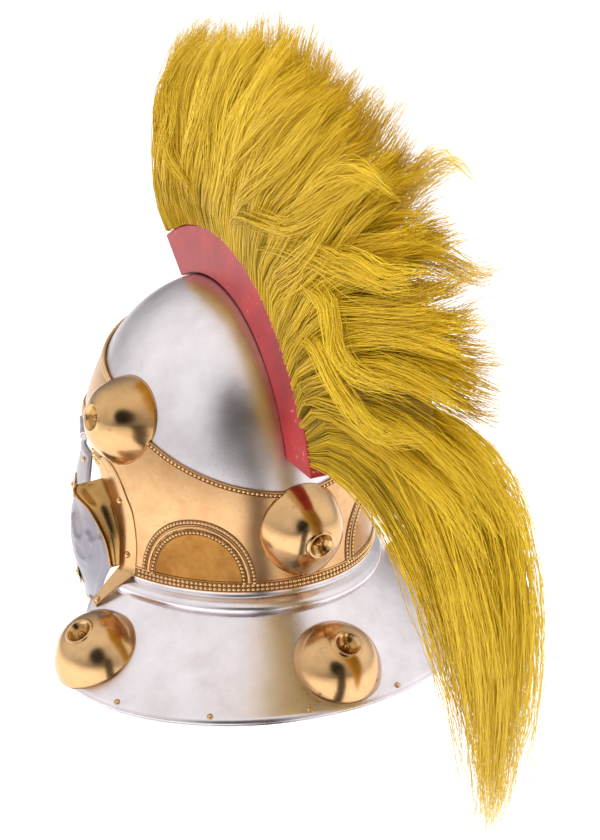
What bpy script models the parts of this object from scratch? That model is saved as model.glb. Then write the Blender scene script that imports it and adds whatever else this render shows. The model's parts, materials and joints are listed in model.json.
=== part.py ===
# Roman cavalry helmet with six conical bosses, hinged cheek pieces and a horsehair crest.
# Units are metres and +Z is up. The face looks along -Y and the wearer's left is +X.
# The origin is on the bowl's axis at its widest level, where the helmet sits on the head.

import math

import bmesh
import bpy
from mathutils import Matrix, Vector

# Steel bowl
BOWL_HALF_WIDTH = 0.100
BOWL_HALF_LENGTH = 0.116
BOWL_HEIGHT = 0.1435
STEEL_WALL = 0.0015
NECK_DROP = 0.060  # from the widest level down to the root of the neck guard
STEP_SIDE = 0.010  # how far the rounded step stands out at the sides
STEP_BACK = 0.015  # and at the back
BROW_LEVEL = 0.040
EAR_TURN = 70.0  # degrees from the back to the rear edge of the ear opening
EAR_ROOF = 0.020
EAR_SILL = 0.0465  # how far the ear opening's rear edge reaches below the widest level

# Neck guard, whose rim is half an ellipse in a level plane
RIM_DROP = 0.1053
RIM_HALF_WIDTH = 0.156
RIM_HALF_LENGTH = 0.1316
RIM_CENTRE = 0.060
RIM_TURN = 104.0  # degrees about the rim's own centre to its front corner
RIM_CORNER = 8.0  # degrees that the corner's rounding takes off
NECK_FRONT_TURN = 79.0
TONGUE_SHARE = 0.22  # share of the neck guard's depth that the ear guard's tongue covers
STRIP_WIDTH = 0.007
STRIP_WALL = 0.0009

# Brass sheets
SEAT_GAP = 0.0004
SHEET_GAP = 0.0009  # between the faceted bowl and the brass sheets round it
BRASS_WALL = 0.0008
BRASS_LIFT = SHEET_GAP + BRASS_WALL
BORDER_HEIGHT = 0.0010
BORDER_WIDTH = 0.0048
BAND_TOP_BACK = 0.0215
BAND_TOP_RISE = 0.033
BAND_RISE_TURN = 64.0
BAND_RISE_POWER = 1.8
BAND_END_TURN = 86.0
BAND_FOOT = 0.0462
SHEET_RISE = 0.0008  # how far the brass ends above the bowl's edge at the ear and the brow
PLATE_PEAK = 0.114
ARCH_TURN = 41.0
ARCH_HALF_TURN = 20.8
ARCH_HEIGHT = 0.0485
ARCH_STEP = 0.0082  # between the outer and the inner ridge of an arch
RIDGE_RADIUS = 0.0011

# Bosses
BOSS_RADIUS = 0.0312
BOSS_HEIGHT = 0.0236
BOSS_WALL = 0.0010
BOSS_SKIRT = 0.011
RIVET_RADIUS = 0.0028
RIVET_SHANK = 0.0012

# Ear guards
EAR_WALL = 0.0012
EAR_STANDOFF = 0.0012  # room for the flats of its facets over the round wall
STEP_STANDOFF = 0.0008  # and over the rounded step and the neck guard
EAR_LAP = 6.0  # degrees of the brass sheets' lower border that an ear guard covers
FLAP_REACH = 0.0215
SMALL_RIVET = 0.0023

# Cheek pieces and their hinges
CHEEK_TURN = 116.0  # degrees from the back to the middle of the hinge
CHEEK_TOP = 0.0225
CHEEK_FOOT = 0.108
CHEEK_HALF_WIDTH = 0.040
CHEEK_WALL = 0.0013
CHEEK_RIDGE = 0.0012
HINGE_LEVEL = 0.0305
PIN_RADIUS = 0.0014
PIN_CLEARANCE = 0.0003
KNUCKLE_WALL = 0.0014
KNUCKLE_LENGTH = 0.012
HINGE_GAP = 0.0004
TAB_INSET = 0.0010  # how much narrower than its eye the tab is that carries it
TAB_LAP = 0.0020
LEAF_TOP = 0.052
LEAF_WALL = 0.0010
LEAF_HALF_TURN = 9.0
LEAF_CLEARANCE = 0.0011  # room for the flats of the bowl's round inner wall
ROSETTE_RADIUS = 0.009
ROSETTE_HEIGHT = 0.0042

# Crest
CREST_GAP = 0.0004
CREST_WIDTH = 0.020
CREST_DEPTH_TOP = 0.0347
CREST_DEPTH_BACK = 0.0303
CREST_FRONT = -21.0  # degrees from straight up to the foot of the front end
CREST_FRONT_SLANT = 5.5
CREST_REAR = 72.5
HAIR_LENGTH = 0.180
HAIR_HALF_ROOT = 0.0075
HAIR_HALF_TIP = 0.027
HAIR_HALF_END = 0.0035
FAN_END = 0.90  # share of the crest whose hair stands up, before the tail's begins
TAIL_START = 0.93
TAIL_SHARE = 0.62  # how thick the tail is against the rest
HAIR_INSET = 2.5  # degrees of crest left bare at each end
LOCK_DEPTH = 0.42  # share of the thickness that the grooves between locks take away
LOCK_SHORTENING = 0.45
TAIL_DRIFT = 0.055

SECTIONS_AROUND = 14

# The wall below its widest level: share of NECK_DROP, share of the step's reach
FLARES = (
    ("waist", 0.000, 0.00),
    ("flare", 0.400, 0.14),
    ("border", 0.775, 0.36),
    ("gutter", 0.830, 0.42),
    ("shoulder", 0.865, 0.84),
    ("face", 0.930, 1.00),
    ("root", 1.000, 0.96),
)

# The bowl's lower edge in front of the ear: degrees from the back, then the level as a share
# from EAR_SILL below (-1) through the widest level (0) to EAR_ROOF (1) and BROW_LEVEL (2)
LOWER_EDGE = (
    ("rear", 70.0, -1.00),
    ("rear_top", 72.5, -0.22),
    ("back_bend", 76.0, 0.10),
    ("bend", 80.0, 0.66),
    ("roof", 85.0, 0.95),
    ("roof_front", 90.0, 1.05),
    ("rise", 94.0, 1.45),
    ("temple", 98.0, 1.85),
    ("brow", 108.0, 2.00),
    ("front", 180.0, 2.00),
)

# A boss's outside, from the hole in its cup down to its foot: shares of radius and height
BOSS_PROFILE = (
    ("hole", 0.052, 0.82),
    ("cup", 0.160, 0.84),
    ("lip", 0.300, 1.00),
    ("shoulder", 0.590, 0.85),
    ("belly", 0.840, 0.51),
    ("foot", 1.000, 0.00),
)

# Ear guard plate: turn of its rear edge, its level, turn of its front edge, its level,
# and the flap's reach. Levels are shares as in LOWER_EDGE, reach is a share of FLAP_REACH.
EAR_PLATE = (
    ("tip", 84.0, 1.50, 87.5, 1.26, 0.0),
    ("neck", 78.0, 1.34, 83.8, 0.90, 0.0),
    ("flap_top", 73.6, 0.95, 81.6, 0.66, 1.0),
    ("upper", 69.8, 0.40, 77.2, 0.10, 0.82),
    ("middle", 66.8, -0.12, 74.4, -0.22, 0.64),
    ("lower", 65.4, -0.52, 73.2, -0.52, 0.48),
    ("flap_foot", 65.8, -0.92, 73.0, -0.90, 0.37),
)

# Rivets of an ear guard: on the plate a turn and a level share as in LOWER_EDGE, and on the
# tongue a share across the neck guard and a share of TONGUE_SHARE
EAR_RIVETS = (
    ("plate", 73.6, 0.22),
    ("plate", 69.3, -0.70),
    ("tongue", 0.985, 0.84),
)

# Locks of hair along the crest: share of the crest, share of HAIR_LENGTH, lean at the root,
# halfway and at the tip in degrees from straight up toward the back, share of TAIL_DRIFT
GUIDES = (
    ("brow", 0.00, 0.88, 8.0, 14.0, 24.0, 0.0),
    ("front", 0.14, 0.90, 14.0, 20.0, 32.0, 0.0),
    ("crown", 0.30, 0.95, 24.0, 30.0, 40.0, 0.0),
    ("top", 0.44, 1.02, 34.0, 40.0, 49.0, 0.0),
    ("back", 0.60, 1.12, 46.0, 50.0, 58.0, 0.0),
    ("nape", 0.74, 1.18, 56.0, 61.0, 68.0, 0.0),
    ("rear", 0.84, 1.18, 62.0, 72.0, 80.0, 0.0),
    ("fall", 0.90, 1.10, 64.0, 82.0, 96.0, 0.1),
    ("tail_top", 0.93, 2.12, 46.0, 161.0, 198.0, 1.0),
    ("tail_middle", 0.965, 1.80, 62.0, 161.0, 184.0, 1.0),
    ("tail_foot", 1.00, 1.42, 92.0, 155.0, 170.0, 1.0),
)

# Outline of a cheek piece, from the hinge down: share of the height, rear and front edge as
# shares of the half width, and how far the plate bows out as a share of the half width
CHEEK_OUTLINE = (
    ("top", 0.00, -0.80, 0.62, 0.00),
    ("brow", 0.10, -0.92, 0.74, 0.09),
    ("eye", 0.26, -1.02, 0.50, 0.19),
    ("ear", 0.42, -1.30, 0.84, 0.25),
    ("cheek", 0.56, -1.46, 0.86, 0.26),
    ("mouth", 0.70, -1.20, 0.58, 0.24),
    ("jaw", 0.84, -0.84, 0.96, 0.19),
    ("chin", 1.00, -0.30, 0.98, 0.10),
)

# The wave embossed on a cheek piece: along and down as shares of half width and height
CHEEK_WAVE = (
    ("start", -1.22, 0.455),
    ("first_trough", -1.04, 0.500),
    ("crest", -0.88, 0.462),
    ("second_trough", -0.68, 0.545),
    ("rise", -0.46, 0.500),
    ("end", -0.30, 0.420),
)

# Where the bosses sit: on the wall a turn and a level in metres, on the neck guard a share
# across and a share of its depth, and then how many degrees the boss is turned about Z and
# raised from the way its seat faces
BOSS_SEATS = (
    ("boss_back", "wall", 0.0, -0.0065, 0.0, -11.0),
    ("boss_temple_left", "wall", 77.0, 0.0590, 7.7, -3.6),
    ("boss_temple_right", "wall", -77.0, 0.0590, -7.7, -3.6),
    ("boss_neck_middle", "neck", 0.0, 0.54, 0.0, 3.5),
    ("boss_neck_left", "neck", 0.83, 0.58, -3.9, 3.2),
    ("boss_neck_right", "neck", -0.83, 0.58, 3.9, 3.2),
)

RIM_RIVETS = (-69.6, -40.8, -13.7, 13.7, 40.8, 69.6)  # degrees about the rim's own centre
SIDES = (("left", 1), ("right", -1))


def clear_scene():
    for item in list(bpy.data.objects):
        bpy.data.objects.remove(item, do_unlink=True)


def new_collection(name):
    made = bpy.data.collections.new(name)
    bpy.context.scene.collection.children.link(made)
    return made


def new_material(name, color, roughness, metallic):
    made = bpy.data.materials.new(name)
    made.use_nodes = True
    shader = made.node_tree.nodes["Principled BSDF"]
    shader.inputs["Base Color"].default_value = (*color, 1.0)
    shader.inputs["Roughness"].default_value = roughness
    shader.inputs["Metallic"].default_value = metallic
    return made


def between(rows, key, value, column):
    """Read a table's column at a value of its key column, in straight runs between rows."""
    for low, high in zip(rows, rows[1:]):
        if value <= high[key]:
            break
    share = (value - low[key]) / (high[key] - low[key])
    return low[column] + (high[column] - low[column]) * min(max(share, 0.0), 1.0)


def wall_point(turn, station):
    """The steel wall's outside: station 0 at the crown, 1 at the widest level, 2 at the root."""
    side, back = math.sin(math.radians(turn)), math.cos(math.radians(turn))
    flare = between(FLARES, 1, station - 1.0, 2) if station > 1.0 else 0.0
    rise = math.radians(90.0 * (1.0 - min(station, 1.0)))
    level = BOWL_HEIGHT * math.sin(rise) if station <= 1.0 else -NECK_DROP * (station - 1.0)
    half_width = (BOWL_HALF_WIDTH + STEP_SIDE * flare) * math.cos(rise)
    half_length = (BOWL_HALF_LENGTH + STEP_BACK * flare) * math.cos(rise)
    return Vector((half_width * side, half_length * back, level))


def neck_point(across, share):
    """The neck guard's outside: across is -1 to 1 between its front edges, share 1 is the rim."""
    swing = min(share / TONGUE_SHARE, 1.0)
    root = wall_point(across * (EAR_TURN + (NECK_FRONT_TURN - EAR_TURN) * swing), 2.0)
    corner = RIM_CORNER * max(0.0, share - 0.6) ** 2 / 0.16
    turn = math.radians(across * (RIM_TURN - corner))
    rim = Vector((RIM_HALF_WIDTH * math.sin(turn), RIM_CENTRE + RIM_HALF_LENGTH * math.cos(turn), -RIM_DROP))
    return root.lerp(rim, share)


def facing(surface, across, down):
    """The direction that a surface faces at a place on it, away from the head."""
    step = 0.01
    aside = surface(across + step, down) - surface(across - step, down)
    below = surface(across, down + step) - surface(across, down - step)
    return aside.cross(below).normalized()


def lifted(surface, across, down, lift):
    return surface(across, down) + facing(surface, across, down) * lift


def station_at(level):
    if level < 0.0:
        return 1.0 - level / NECK_DROP
    return 1.0 - math.degrees(math.asin(min(level / BOWL_HEIGHT, 1.0))) / 90.0


def level_of(share):
    """A level from a share: -1 is the ear opening's sill, 1 its roof and 2 the brow."""
    if share <= 0.0:
        return EAR_SILL * share
    if share <= 1.0:
        return EAR_ROOF * share
    return EAR_ROOF + (BROW_LEVEL - EAR_ROOF) * (share - 1.0)


def lower_edge(turn):
    """The level of the bowl's lower edge in front of the ear's rear edge."""
    return level_of(between(LOWER_EDGE, 1, abs(turn), 2))


def column_turns():
    """Turns of the bowl's columns on the wearer's left, closer together at the ear."""
    back = [7.5 * step for step in range(9)] + [65.0]
    ear = [row[1] for row in LOWER_EDGE[:-2]]
    front = [LOWER_EDGE[-2][1] + 12.0 * step for step in range(7)]
    return back + ear + front


def all_turns(low, high):
    """Turns of the columns from low to high, with the two ends."""
    left = column_turns()
    around = sorted({-turn for turn in left} | set(left) | {360.0 - turn for turn in left})
    inner = [turn for turn in around if low + 1.0 < turn < high - 1.0]
    return [low] + inner + [high]


def mesh_object(name, mesh, material, collection):
    made = bpy.data.objects.new(name, mesh)
    made.data.materials.append(material)
    collection.objects.link(made)
    return made


def finish_mesh(shape, name, material, collection, smooth=35.0, recalculate=True):
    """Turn a bmesh into an object with its faces outward and its round parts smooth."""
    if recalculate:
        bmesh.ops.recalc_face_normals(shape, faces=shape.faces)
    mesh = bpy.data.meshes.new(name)
    shape.to_mesh(mesh)
    shape.free()
    mesh.shade_smooth()
    mesh.set_sharp_from_angle(angle=math.radians(smooth))
    return mesh_object(name, mesh, material, collection)


def quad_rows(shape, rows, closed=False):
    """Join rows of vertices with faces. A closed row meets its own start."""
    for upper, lower in zip(rows, rows[1:]):
        count = len(upper)
        for here in range(count if closed else count - 1):
            there = (here + 1) % count
            shape.faces.new((upper[here], lower[here], lower[there], upper[there]))


def add_solidify(item, thickness, inward=True):
    wall = item.modifiers.new("wall", "SOLIDIFY")
    wall.thickness = thickness
    wall.offset = -1.0 if inward else 1.0
    return wall


def add_boolean(item, other, operation):
    cut = item.modifiers.new(operation.lower(), "BOOLEAN")
    cut.operation = operation
    cut.object = other
    cut.solver = "EXACT"
    return cut


def hide_cutter(item, cutters):
    for holder in list(item.users_collection):
        holder.objects.unlink(item)
    cutters.objects.link(item)
    item.hide_render = True
    item.display_type = "WIRE"


def joined_mesh(item):
    """The mesh of an object with its modifiers applied, welded, in world space."""
    bpy.context.view_layer.update()
    graph = bpy.context.evaluated_depsgraph_get()
    mesh = bpy.data.meshes.new_from_object(item.evaluated_get(graph))
    mesh.transform(item.matrix_world)
    shape = bmesh.new()
    shape.from_mesh(mesh)
    bmesh.ops.remove_doubles(shape, verts=shape.verts, dist=0.00001)
    bmesh.ops.recalc_face_normals(shape, faces=shape.faces)
    shape.to_mesh(mesh)
    shape.free()
    return mesh


def bowl_stations(turn):
    """Stations of one column of the bowl, from below the crown to its lower edge or the root.
    In front of the ears the rows below the crown are closer together."""
    crown = [share / 8.0 for share in range(1, 6)]
    below = [share / 8.0 for share in range(6, 9)] + [1.0 + row[1] for row in FLARES[1:3]]
    if abs(turn) <= EAR_TURN:
        return crown + below
    reach = (station_at(lower_edge(turn)) - crown[-1]) / (below[-1] - crown[-1])
    return crown + [crown[-1] + (station - crown[-1]) * reach for station in below]


def make_bowl(steel, collection):
    """Crown, flared wall, rounded step and neck guard: one sheet of steel."""
    shape = bmesh.new()
    left = column_turns()
    turns = [-turn for turn in reversed(left[1:])] + left
    columns = [[shape.verts.new(wall_point(turn, station)) for station in bowl_stations(turn)]
               for turn in turns]
    rows = [list(row) for row in zip(*columns)]
    quad_rows(shape, rows, closed=True)
    crown = shape.verts.new(wall_point(0.0, 0.0))
    for here, vert in enumerate(rows[0]):
        shape.faces.new((crown, vert, rows[0][(here + 1) % len(rows[0])]))
    first = turns.index(-EAR_TURN)
    last = turns.index(EAR_TURN)
    back_turns = turns[first:last + 1]
    step_rows = [rows[-1][first:last + 1]]
    for row in FLARES[3:]:
        step_rows.append([shape.verts.new(wall_point(turn, 1.0 + row[1])) for turn in back_turns])
    for share in (0.11, TONGUE_SHARE, 0.48, 0.74, 1.0):
        step_rows.append([shape.verts.new(neck_point(turn / EAR_TURN, share)) for turn in back_turns])
    quad_rows(shape, step_rows)
    bowl = finish_mesh(shape, "bowl", steel, collection)
    add_solidify(bowl, STEEL_WALL)
    return bowl


def make_rim_strip(steel, collection):
    """A narrow steel strip under the neck guard's rim, which the rim rivets hold."""
    shape = bmesh.new()
    turns = [turn / EAR_TURN for turn in all_turns(-65.0, 65.0)]
    under = -STEEL_WALL - SEAT_GAP
    width = STRIP_WIDTH / (RIM_DROP - NECK_DROP)
    rows = [[shape.verts.new(lifted(neck_point, across, share, under)) for across in turns]
            for share in (1.0 - width, 1.006)]
    quad_rows(shape, rows)
    strip = finish_mesh(shape, "rim_strip", steel, collection)
    add_solidify(strip, STRIP_WALL)
    return strip


def band_top(turn):
    """The level of the brass's upper edge, lowest at the back and highest over the face."""
    turn = abs(turn) if abs(turn) <= 180.0 else 360.0 - turn
    end = BAND_TOP_BACK + BAND_TOP_RISE * (BAND_END_TURN / BAND_RISE_TURN) ** BAND_RISE_POWER
    if turn <= BAND_END_TURN:
        return BAND_TOP_BACK + BAND_TOP_RISE * (turn / BAND_RISE_TURN) ** BAND_RISE_POWER
    return end + (PLATE_PEAK - end) * (turn - BAND_END_TURN) / (180.0 - BAND_END_TURN)


def band_foot(turn):
    turn = abs(turn) if abs(turn) <= 180.0 else 360.0 - turn
    if turn <= EAR_TURN:
        return -BAND_FOOT
    return lower_edge(turn) + SHEET_RISE


def sheet_rows(top, foot, foot_raised):
    """Levels and lifts of a brass sheet's rows, top to foot. Its borders are raised, apart from
    the lower one where the ear guard lies on it, and the field between them is plain."""
    base = BRASS_LIFT
    border = [(0.0, 0.0), (0.5, BORDER_HEIGHT), (1.0, 0.0)]
    rows = [(top - BORDER_WIDTH * share, base + height) for share, height in border]
    field_top, field_foot = top - BORDER_WIDTH, foot + BORDER_WIDTH
    rows += [(field_top + (field_foot - field_top) * share, base) for share in (0.25, 0.5, 0.75)]
    rows += [(foot + BORDER_WIDTH * share, base + height * foot_raised) for share, height in reversed(border)]
    return rows


def make_sheet(name, turns, brass, collection):
    """A brass sheet over the wall between two turns, with a raised border above and below."""
    shape = bmesh.new()
    columns = []
    for turn in turns:
        under_guard = EAR_TURN - EAR_LAP < min(abs(turn), 360.0 - abs(turn)) < BAND_END_TURN + EAR_LAP
        places = sheet_rows(band_top(turn), band_foot(turn), 0.0 if under_guard else 1.0)
        columns.append([shape.verts.new(lifted(wall_point, turn, station_at(level), lift))
                        for level, lift in places])
    quad_rows(shape, [list(row) for row in zip(*columns)])
    sheet = finish_mesh(shape, name, brass, collection)
    add_solidify(sheet, BRASS_WALL)
    return sheet


def arch_points(middle, height, half_turn):
    """Points of a round arch on the band, from one foot to the other."""
    lift = BRASS_LIFT + 0.25 * RIDGE_RADIUS
    foot = -BAND_FOOT + 0.5 * BORDER_WIDTH
    points = []
    for step in range(11):
        angle = math.pi * step / 10
        turn = middle + half_turn * math.cos(angle)
        points.append(lifted(wall_point, turn, station_at(foot + height * math.sin(angle)), lift))
    return points


def make_tube(name, points, radius, material, collection, sides=0):
    """A tube with closed ends along straight runs between points."""
    path = bpy.data.curves.new(name, "CURVE")
    path.dimensions = "3D"
    path.bevel_depth = radius
    path.bevel_resolution = sides
    path.use_fill_caps = True
    run = path.splines.new("POLY")
    run.points.add(len(points) - 1)
    for place, point in zip(run.points, points):
        place.co = (*point, 1.0)
    item = bpy.data.objects.new(name, path)
    collection.objects.link(item)
    mesh = joined_mesh(item)
    bpy.data.objects.remove(item, do_unlink=True)
    return mesh_object(name, mesh, material, collection)


def make_band(brass, collection, cutters):
    """The band round the back of the bowl, with two arches in double relief."""
    band = make_sheet("band", all_turns(-BAND_END_TURN, BAND_END_TURN), brass, collection)
    inner_turn = ARCH_HALF_TURN * (1.0 - ARCH_STEP / ARCH_HEIGHT)
    for side, sign in SIDES:
        for ring, height, half in (("outer", ARCH_HEIGHT, ARCH_HALF_TURN),
                                   ("inner", ARCH_HEIGHT - ARCH_STEP, inner_turn)):
            points = arch_points(sign * ARCH_TURN, height, half)
            ridge = make_tube(f"arch_{ring}_{side}", points, RIDGE_RADIUS, brass, cutters)
            hide_cutter(ridge, cutters)
            add_boolean(band, ridge, "UNION")
    return band


def make_front_plate(brass, collection):
    start = BAND_END_TURN + 0.5
    return make_sheet("front_plate", all_turns(start, 360.0 - start), brass, collection)


def wall_form(cutters, steel):
    """The filled outer form of the bowl, grown past the brass, which bosses are cut to fit."""
    lift = BRASS_LIFT + BORDER_HEIGHT + SEAT_GAP
    shape = bmesh.new()
    stations = [share / 12.0 for share in range(1, 13)] + [1.4, 1.775, 1.95]
    turns = [7.5 * step for step in range(48)]
    rows = [[shape.verts.new(lifted(wall_point, turn, station, lift)) for turn in turns]
            for station in stations]
    quad_rows(shape, rows, closed=True)
    crown = shape.verts.new(wall_point(0.0, 0.0) + Vector((0.0, 0.0, lift)))
    for here, vert in enumerate(rows[0]):
        shape.faces.new((crown, vert, rows[0][(here + 1) % len(rows[0])]))
    shape.faces.new(list(reversed(rows[-1])))
    form = finish_mesh(shape, "wall_form", steel, cutters)
    hide_cutter(form, cutters)
    return form


def neck_form(cutters, steel):
    """A thick slab whose upper side is the neck guard's, which the lower bosses are cut to fit."""
    columns = [-1.2 + 0.08 * step for step in range(31)]
    shares = [-0.6, -0.15, 0.1, 0.3, 0.5, 0.7, 0.9, 1.1, 1.35, 1.8]
    upper = [[lifted(neck_slope, across, share, SEAT_GAP) for across in columns] for share in shares]
    lower = [[point - Vector((0.0, 0.0, 0.05)) for point in row] for row in upper]
    form = closed_grid("neck_form", upper, lower, steel, cutters)
    hide_cutter(form, cutters)
    return form


def neck_slope(across, share):
    """The neck guard's straight slope carried on past its edges."""
    root = wall_point(across * NECK_FRONT_TURN, 2.0)
    turn = math.radians(across * RIM_TURN)
    rim = Vector((RIM_HALF_WIDTH * math.sin(turn), RIM_CENTRE + RIM_HALF_LENGTH * math.cos(turn), -RIM_DROP))
    return root + (rim - root) * share


def closed_grid(name, upper, lower, material, collection, smooth=35.0):
    """A closed body between two grids of points with the same number of rows and columns."""
    shape = bmesh.new()
    grids = [[[shape.verts.new(point) for point in row] for row in grid] for grid in (upper, lower)]
    for grid in grids:
        quad_rows(shape, grid)
    top, under = grids
    edges = [(top[0], under[0]), (top[-1], under[-1])]
    edges += [([row[side] for row in top], [row[side] for row in under]) for side in (0, -1)]
    for first, second in edges:
        quad_rows(shape, [first, second])
    bmesh.ops.recalc_face_normals(shape, faces=shape.faces)
    if shape.calc_volume(signed=True) < 0.0:
        bmesh.ops.reverse_faces(shape, faces=shape.faces)
    return finish_mesh(shape, name, material, collection, smooth, recalculate=False)


def turned(name, profile, material, collection, steps=SECTIONS_AROUND, wall=0.0):
    """A shape turned about its own Z from a profile of radius and height, top to bottom."""
    mesh = bpy.data.meshes.new(name)
    points = [(radius, 0.0, height) for radius, height in profile]
    mesh.from_pydata(points, [(here, here + 1) for here in range(len(points) - 1)], [])
    item = mesh_object(name, mesh, material, collection)
    screw = item.modifiers.new("turn", "SCREW")
    screw.steps = steps
    screw.render_steps = steps
    screw.use_merge_vertices = True
    screw.merge_threshold = 0.00001
    screw.use_smooth_shade = True
    if wall:
        add_solidify(item, wall)
    return item


def seat_matrix(surface, across, down, lift):
    """A frame on a surface: +Z faces away from the head, moved along it by lift."""
    out = facing(surface, across, down)
    turn = out.to_track_quat("Z", "Y").to_matrix().to_4x4()
    return Matrix.Translation(surface(across, down) + out * lift) @ turn


def boss_seat(kind, across, down, turn, rise):
    """A boss's frame: its base is on the brass or on the neck guard, and +Z points outward."""
    if kind == "wall":
        seat = (wall_point, across, station_at(down))
        place = lifted(*seat, BRASS_LIFT)
    else:
        seat = (neck_point, across, down)
        place = lifted(*seat, SEAT_GAP)
    faces = facing(*seat)
    turn = math.atan2(faces.x, faces.y) + math.radians(turn)
    rise = math.asin(faces.z) + math.radians(rise)
    out = Vector((math.sin(turn) * math.cos(rise), math.cos(turn) * math.cos(rise), math.sin(rise)))
    return Matrix.Translation(place) @ out.to_track_quat("Z", "Y").to_matrix().to_4x4()


def make_boss(name, kind, seat, forms, brass, collection):
    """A hollow conical boss with a small cup at its top, cut to sit on the helmet."""
    profile = [(BOSS_RADIUS * row[1], BOSS_HEIGHT * row[2]) for row in BOSS_PROFILE]
    profile.append((BOSS_RADIUS, -BOSS_SKIRT))
    boss = turned(name, profile, brass, collection, wall=BOSS_WALL)
    boss.matrix_world = seat
    add_boolean(boss, forms[kind], "DIFFERENCE")
    return boss


def rivet_profile(radius, shank, length):
    """A domed head on a straight shank, closed on the axis at both ends."""
    height = 0.75 * radius
    head = [(radius * math.sin(angle), height * math.cos(angle))
            for angle in (0.0, math.radians(48.0), math.radians(90.0))]
    return head + [(shank, 0.0), (shank, -length), (0.0, -length)]


def make_boss_rivet(name, kind, seat, brass, collection):
    """The rivet in a boss's cup, whose shank runs down through the boss to the helmet."""
    cup = BOSS_HEIGHT * BOSS_PROFILE[0][2] + SEAT_GAP
    foot = 2.0 * SEAT_GAP if kind == "neck" else BORDER_HEIGHT
    rivet = turned(name, rivet_profile(RIVET_RADIUS, RIVET_SHANK, cup - foot), brass, collection, steps=8)
    rivet.matrix_world = seat @ Matrix.Translation((0.0, 0.0, cup))
    return rivet


def make_small_rivet(name, matrix, brass, collection):
    rivet = turned(name, [(0.0, 0.8 * SMALL_RIVET), (0.72 * SMALL_RIVET, 0.55 * SMALL_RIVET),
                          (SMALL_RIVET, 0.0), (0.0, 0.0)], brass, collection, steps=8)
    rivet.matrix_world = matrix
    return rivet


def make_rim_rivets(brass, collection):
    """Six rivets just inside the neck guard's rim, through to the strip below it."""
    for number, turn in enumerate(RIM_RIVETS):
        seat = seat_matrix(neck_point, turn / RIM_TURN, 0.93, SEAT_GAP)
        make_small_rivet(f"rim_rivet_{number + 1}", seat, brass, collection)


def ear_plate_point(turn, share, sign, lift):
    return lifted(wall_point, sign * turn, station_at(level_of(share)), lift)


def make_ear_guard(side, sign, brass, collection):
    """A plate round the rear of the ear opening, its standing flap and the tongue below it."""
    lift = BRASS_LIFT + SEAT_GAP + EAR_WALL + EAR_STANDOFF
    shape = bmesh.new()
    rear, middle_line, front, flaps = [], [], [], {}
    for row in EAR_PLATE:
        rear.append(shape.verts.new(ear_plate_point(row[1], row[2], sign, lift)))
        halfway = (0.5 * (row[1] + row[3]), 0.5 * (row[2] + row[4]))
        middle_line.append(shape.verts.new(ear_plate_point(*halfway, sign, lift)))
        joint = ear_plate_point(row[3], row[4], sign, lift)
        front.append(shape.verts.new(joint))
        if row[5]:
            reach = FLAP_REACH * row[5]
            out = Vector((sign * 0.93, -0.30, -0.20)).normalized()
            fold = Vector((sign * -0.12, -0.90, -0.42)).normalized()
            middle = joint + out * reach * 0.50 + fold * reach * 0.10
            edge = joint + out * reach + fold * reach * 0.06
            lip = edge + (out * 0.55 - fold * 0.85).normalized() * 0.0024
            flaps[len(front) - 1] = [shape.verts.new(point) for point in (middle, edge, lip)]
    over_step = SEAT_GAP + EAR_WALL + STEP_STANDOFF
    for name, drop, _ in FLARES[3:]:
        for line, turn in ((rear, 66.0), (middle_line, 69.5), (front, 73.5)):
            line.append(shape.verts.new(lifted(wall_point, sign * turn, 1.0 + drop, over_step)))
    for share in (0.5 * TONGUE_SHARE, TONGUE_SHARE):
        for line, across, lag in ((rear, 0.94, 0.0), (middle_line, 0.985, -0.005), (front, 1.03, -0.01)):
            line.append(shape.verts.new(lifted(neck_point, sign * across, share + lag, over_step)))
    quad_rows(shape, [rear, middle_line, front])
    rows = sorted(flaps)
    fold_lines = [[flaps[row][part] for row in rows] for part in range(3)]
    quad_rows(shape, [[front[row] for row in rows]] + fold_lines)
    guard = finish_mesh(shape, f"ear_guard_{side}", brass, collection)
    add_solidify(guard, EAR_WALL)
    return guard


def make_ear_rivets(side, sign, brass, collection):
    """Two rivets in an ear guard's plate and one in its tongue."""
    on_plate = BRASS_LIFT + 2.0 * SEAT_GAP + EAR_WALL + EAR_STANDOFF
    on_tongue = 2.0 * SEAT_GAP + EAR_WALL + STEP_STANDOFF
    for number, (surface, across, down) in enumerate(EAR_RIVETS):
        if surface == "plate":
            seat = seat_matrix(wall_point, sign * across, station_at(level_of(down)), on_plate)
        else:
            seat = seat_matrix(neck_point, sign * across, down * TONGUE_SHARE, on_tongue)
        make_small_rivet(f"ear_rivet_{side}_{number + 1}", seat, brass, collection)


def hinge_frame(sign):
    """A cheek hinge's frame: +X along the pin toward the face, +Y outward, +Z up."""
    turn = sign * CHEEK_TURN
    station = station_at(HINGE_LEVEL)
    place = lifted(wall_point, turn, station, -0.5 * STEEL_WALL)
    ahead = wall_point(turn + sign * 1.0, station) - wall_point(turn - sign * 1.0, station)
    ahead.z = 0.0
    ahead.normalize()
    out = Vector((ahead.y, -ahead.x, 0.0)) * -1.0
    if out.x * sign < 0.0:
        out.negate()
    frame = Matrix((ahead, out, (0.0, 0.0, 1.0))).transposed().to_4x4()
    return Matrix.Translation(place) @ frame


def make_pin(side, frame, steel, collection):
    """The hinge pin, along the frame's X."""
    length = 3.0 * KNUCKLE_LENGTH + 4.0 * HINGE_GAP
    bpy.ops.mesh.primitive_cylinder_add(vertices=10, radius=PIN_RADIUS, depth=length)
    pin = bpy.context.object
    pin.name = f"hinge_pin_{side}"
    pin.data.materials.append(steel)
    adopt(pin, collection)
    pin.matrix_world = frame @ Matrix.Rotation(math.radians(90.0), 4, "Y")
    return pin


def adopt(item, collection):
    for holder in list(item.users_collection):
        holder.objects.unlink(item)
    collection.objects.link(item)


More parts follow.
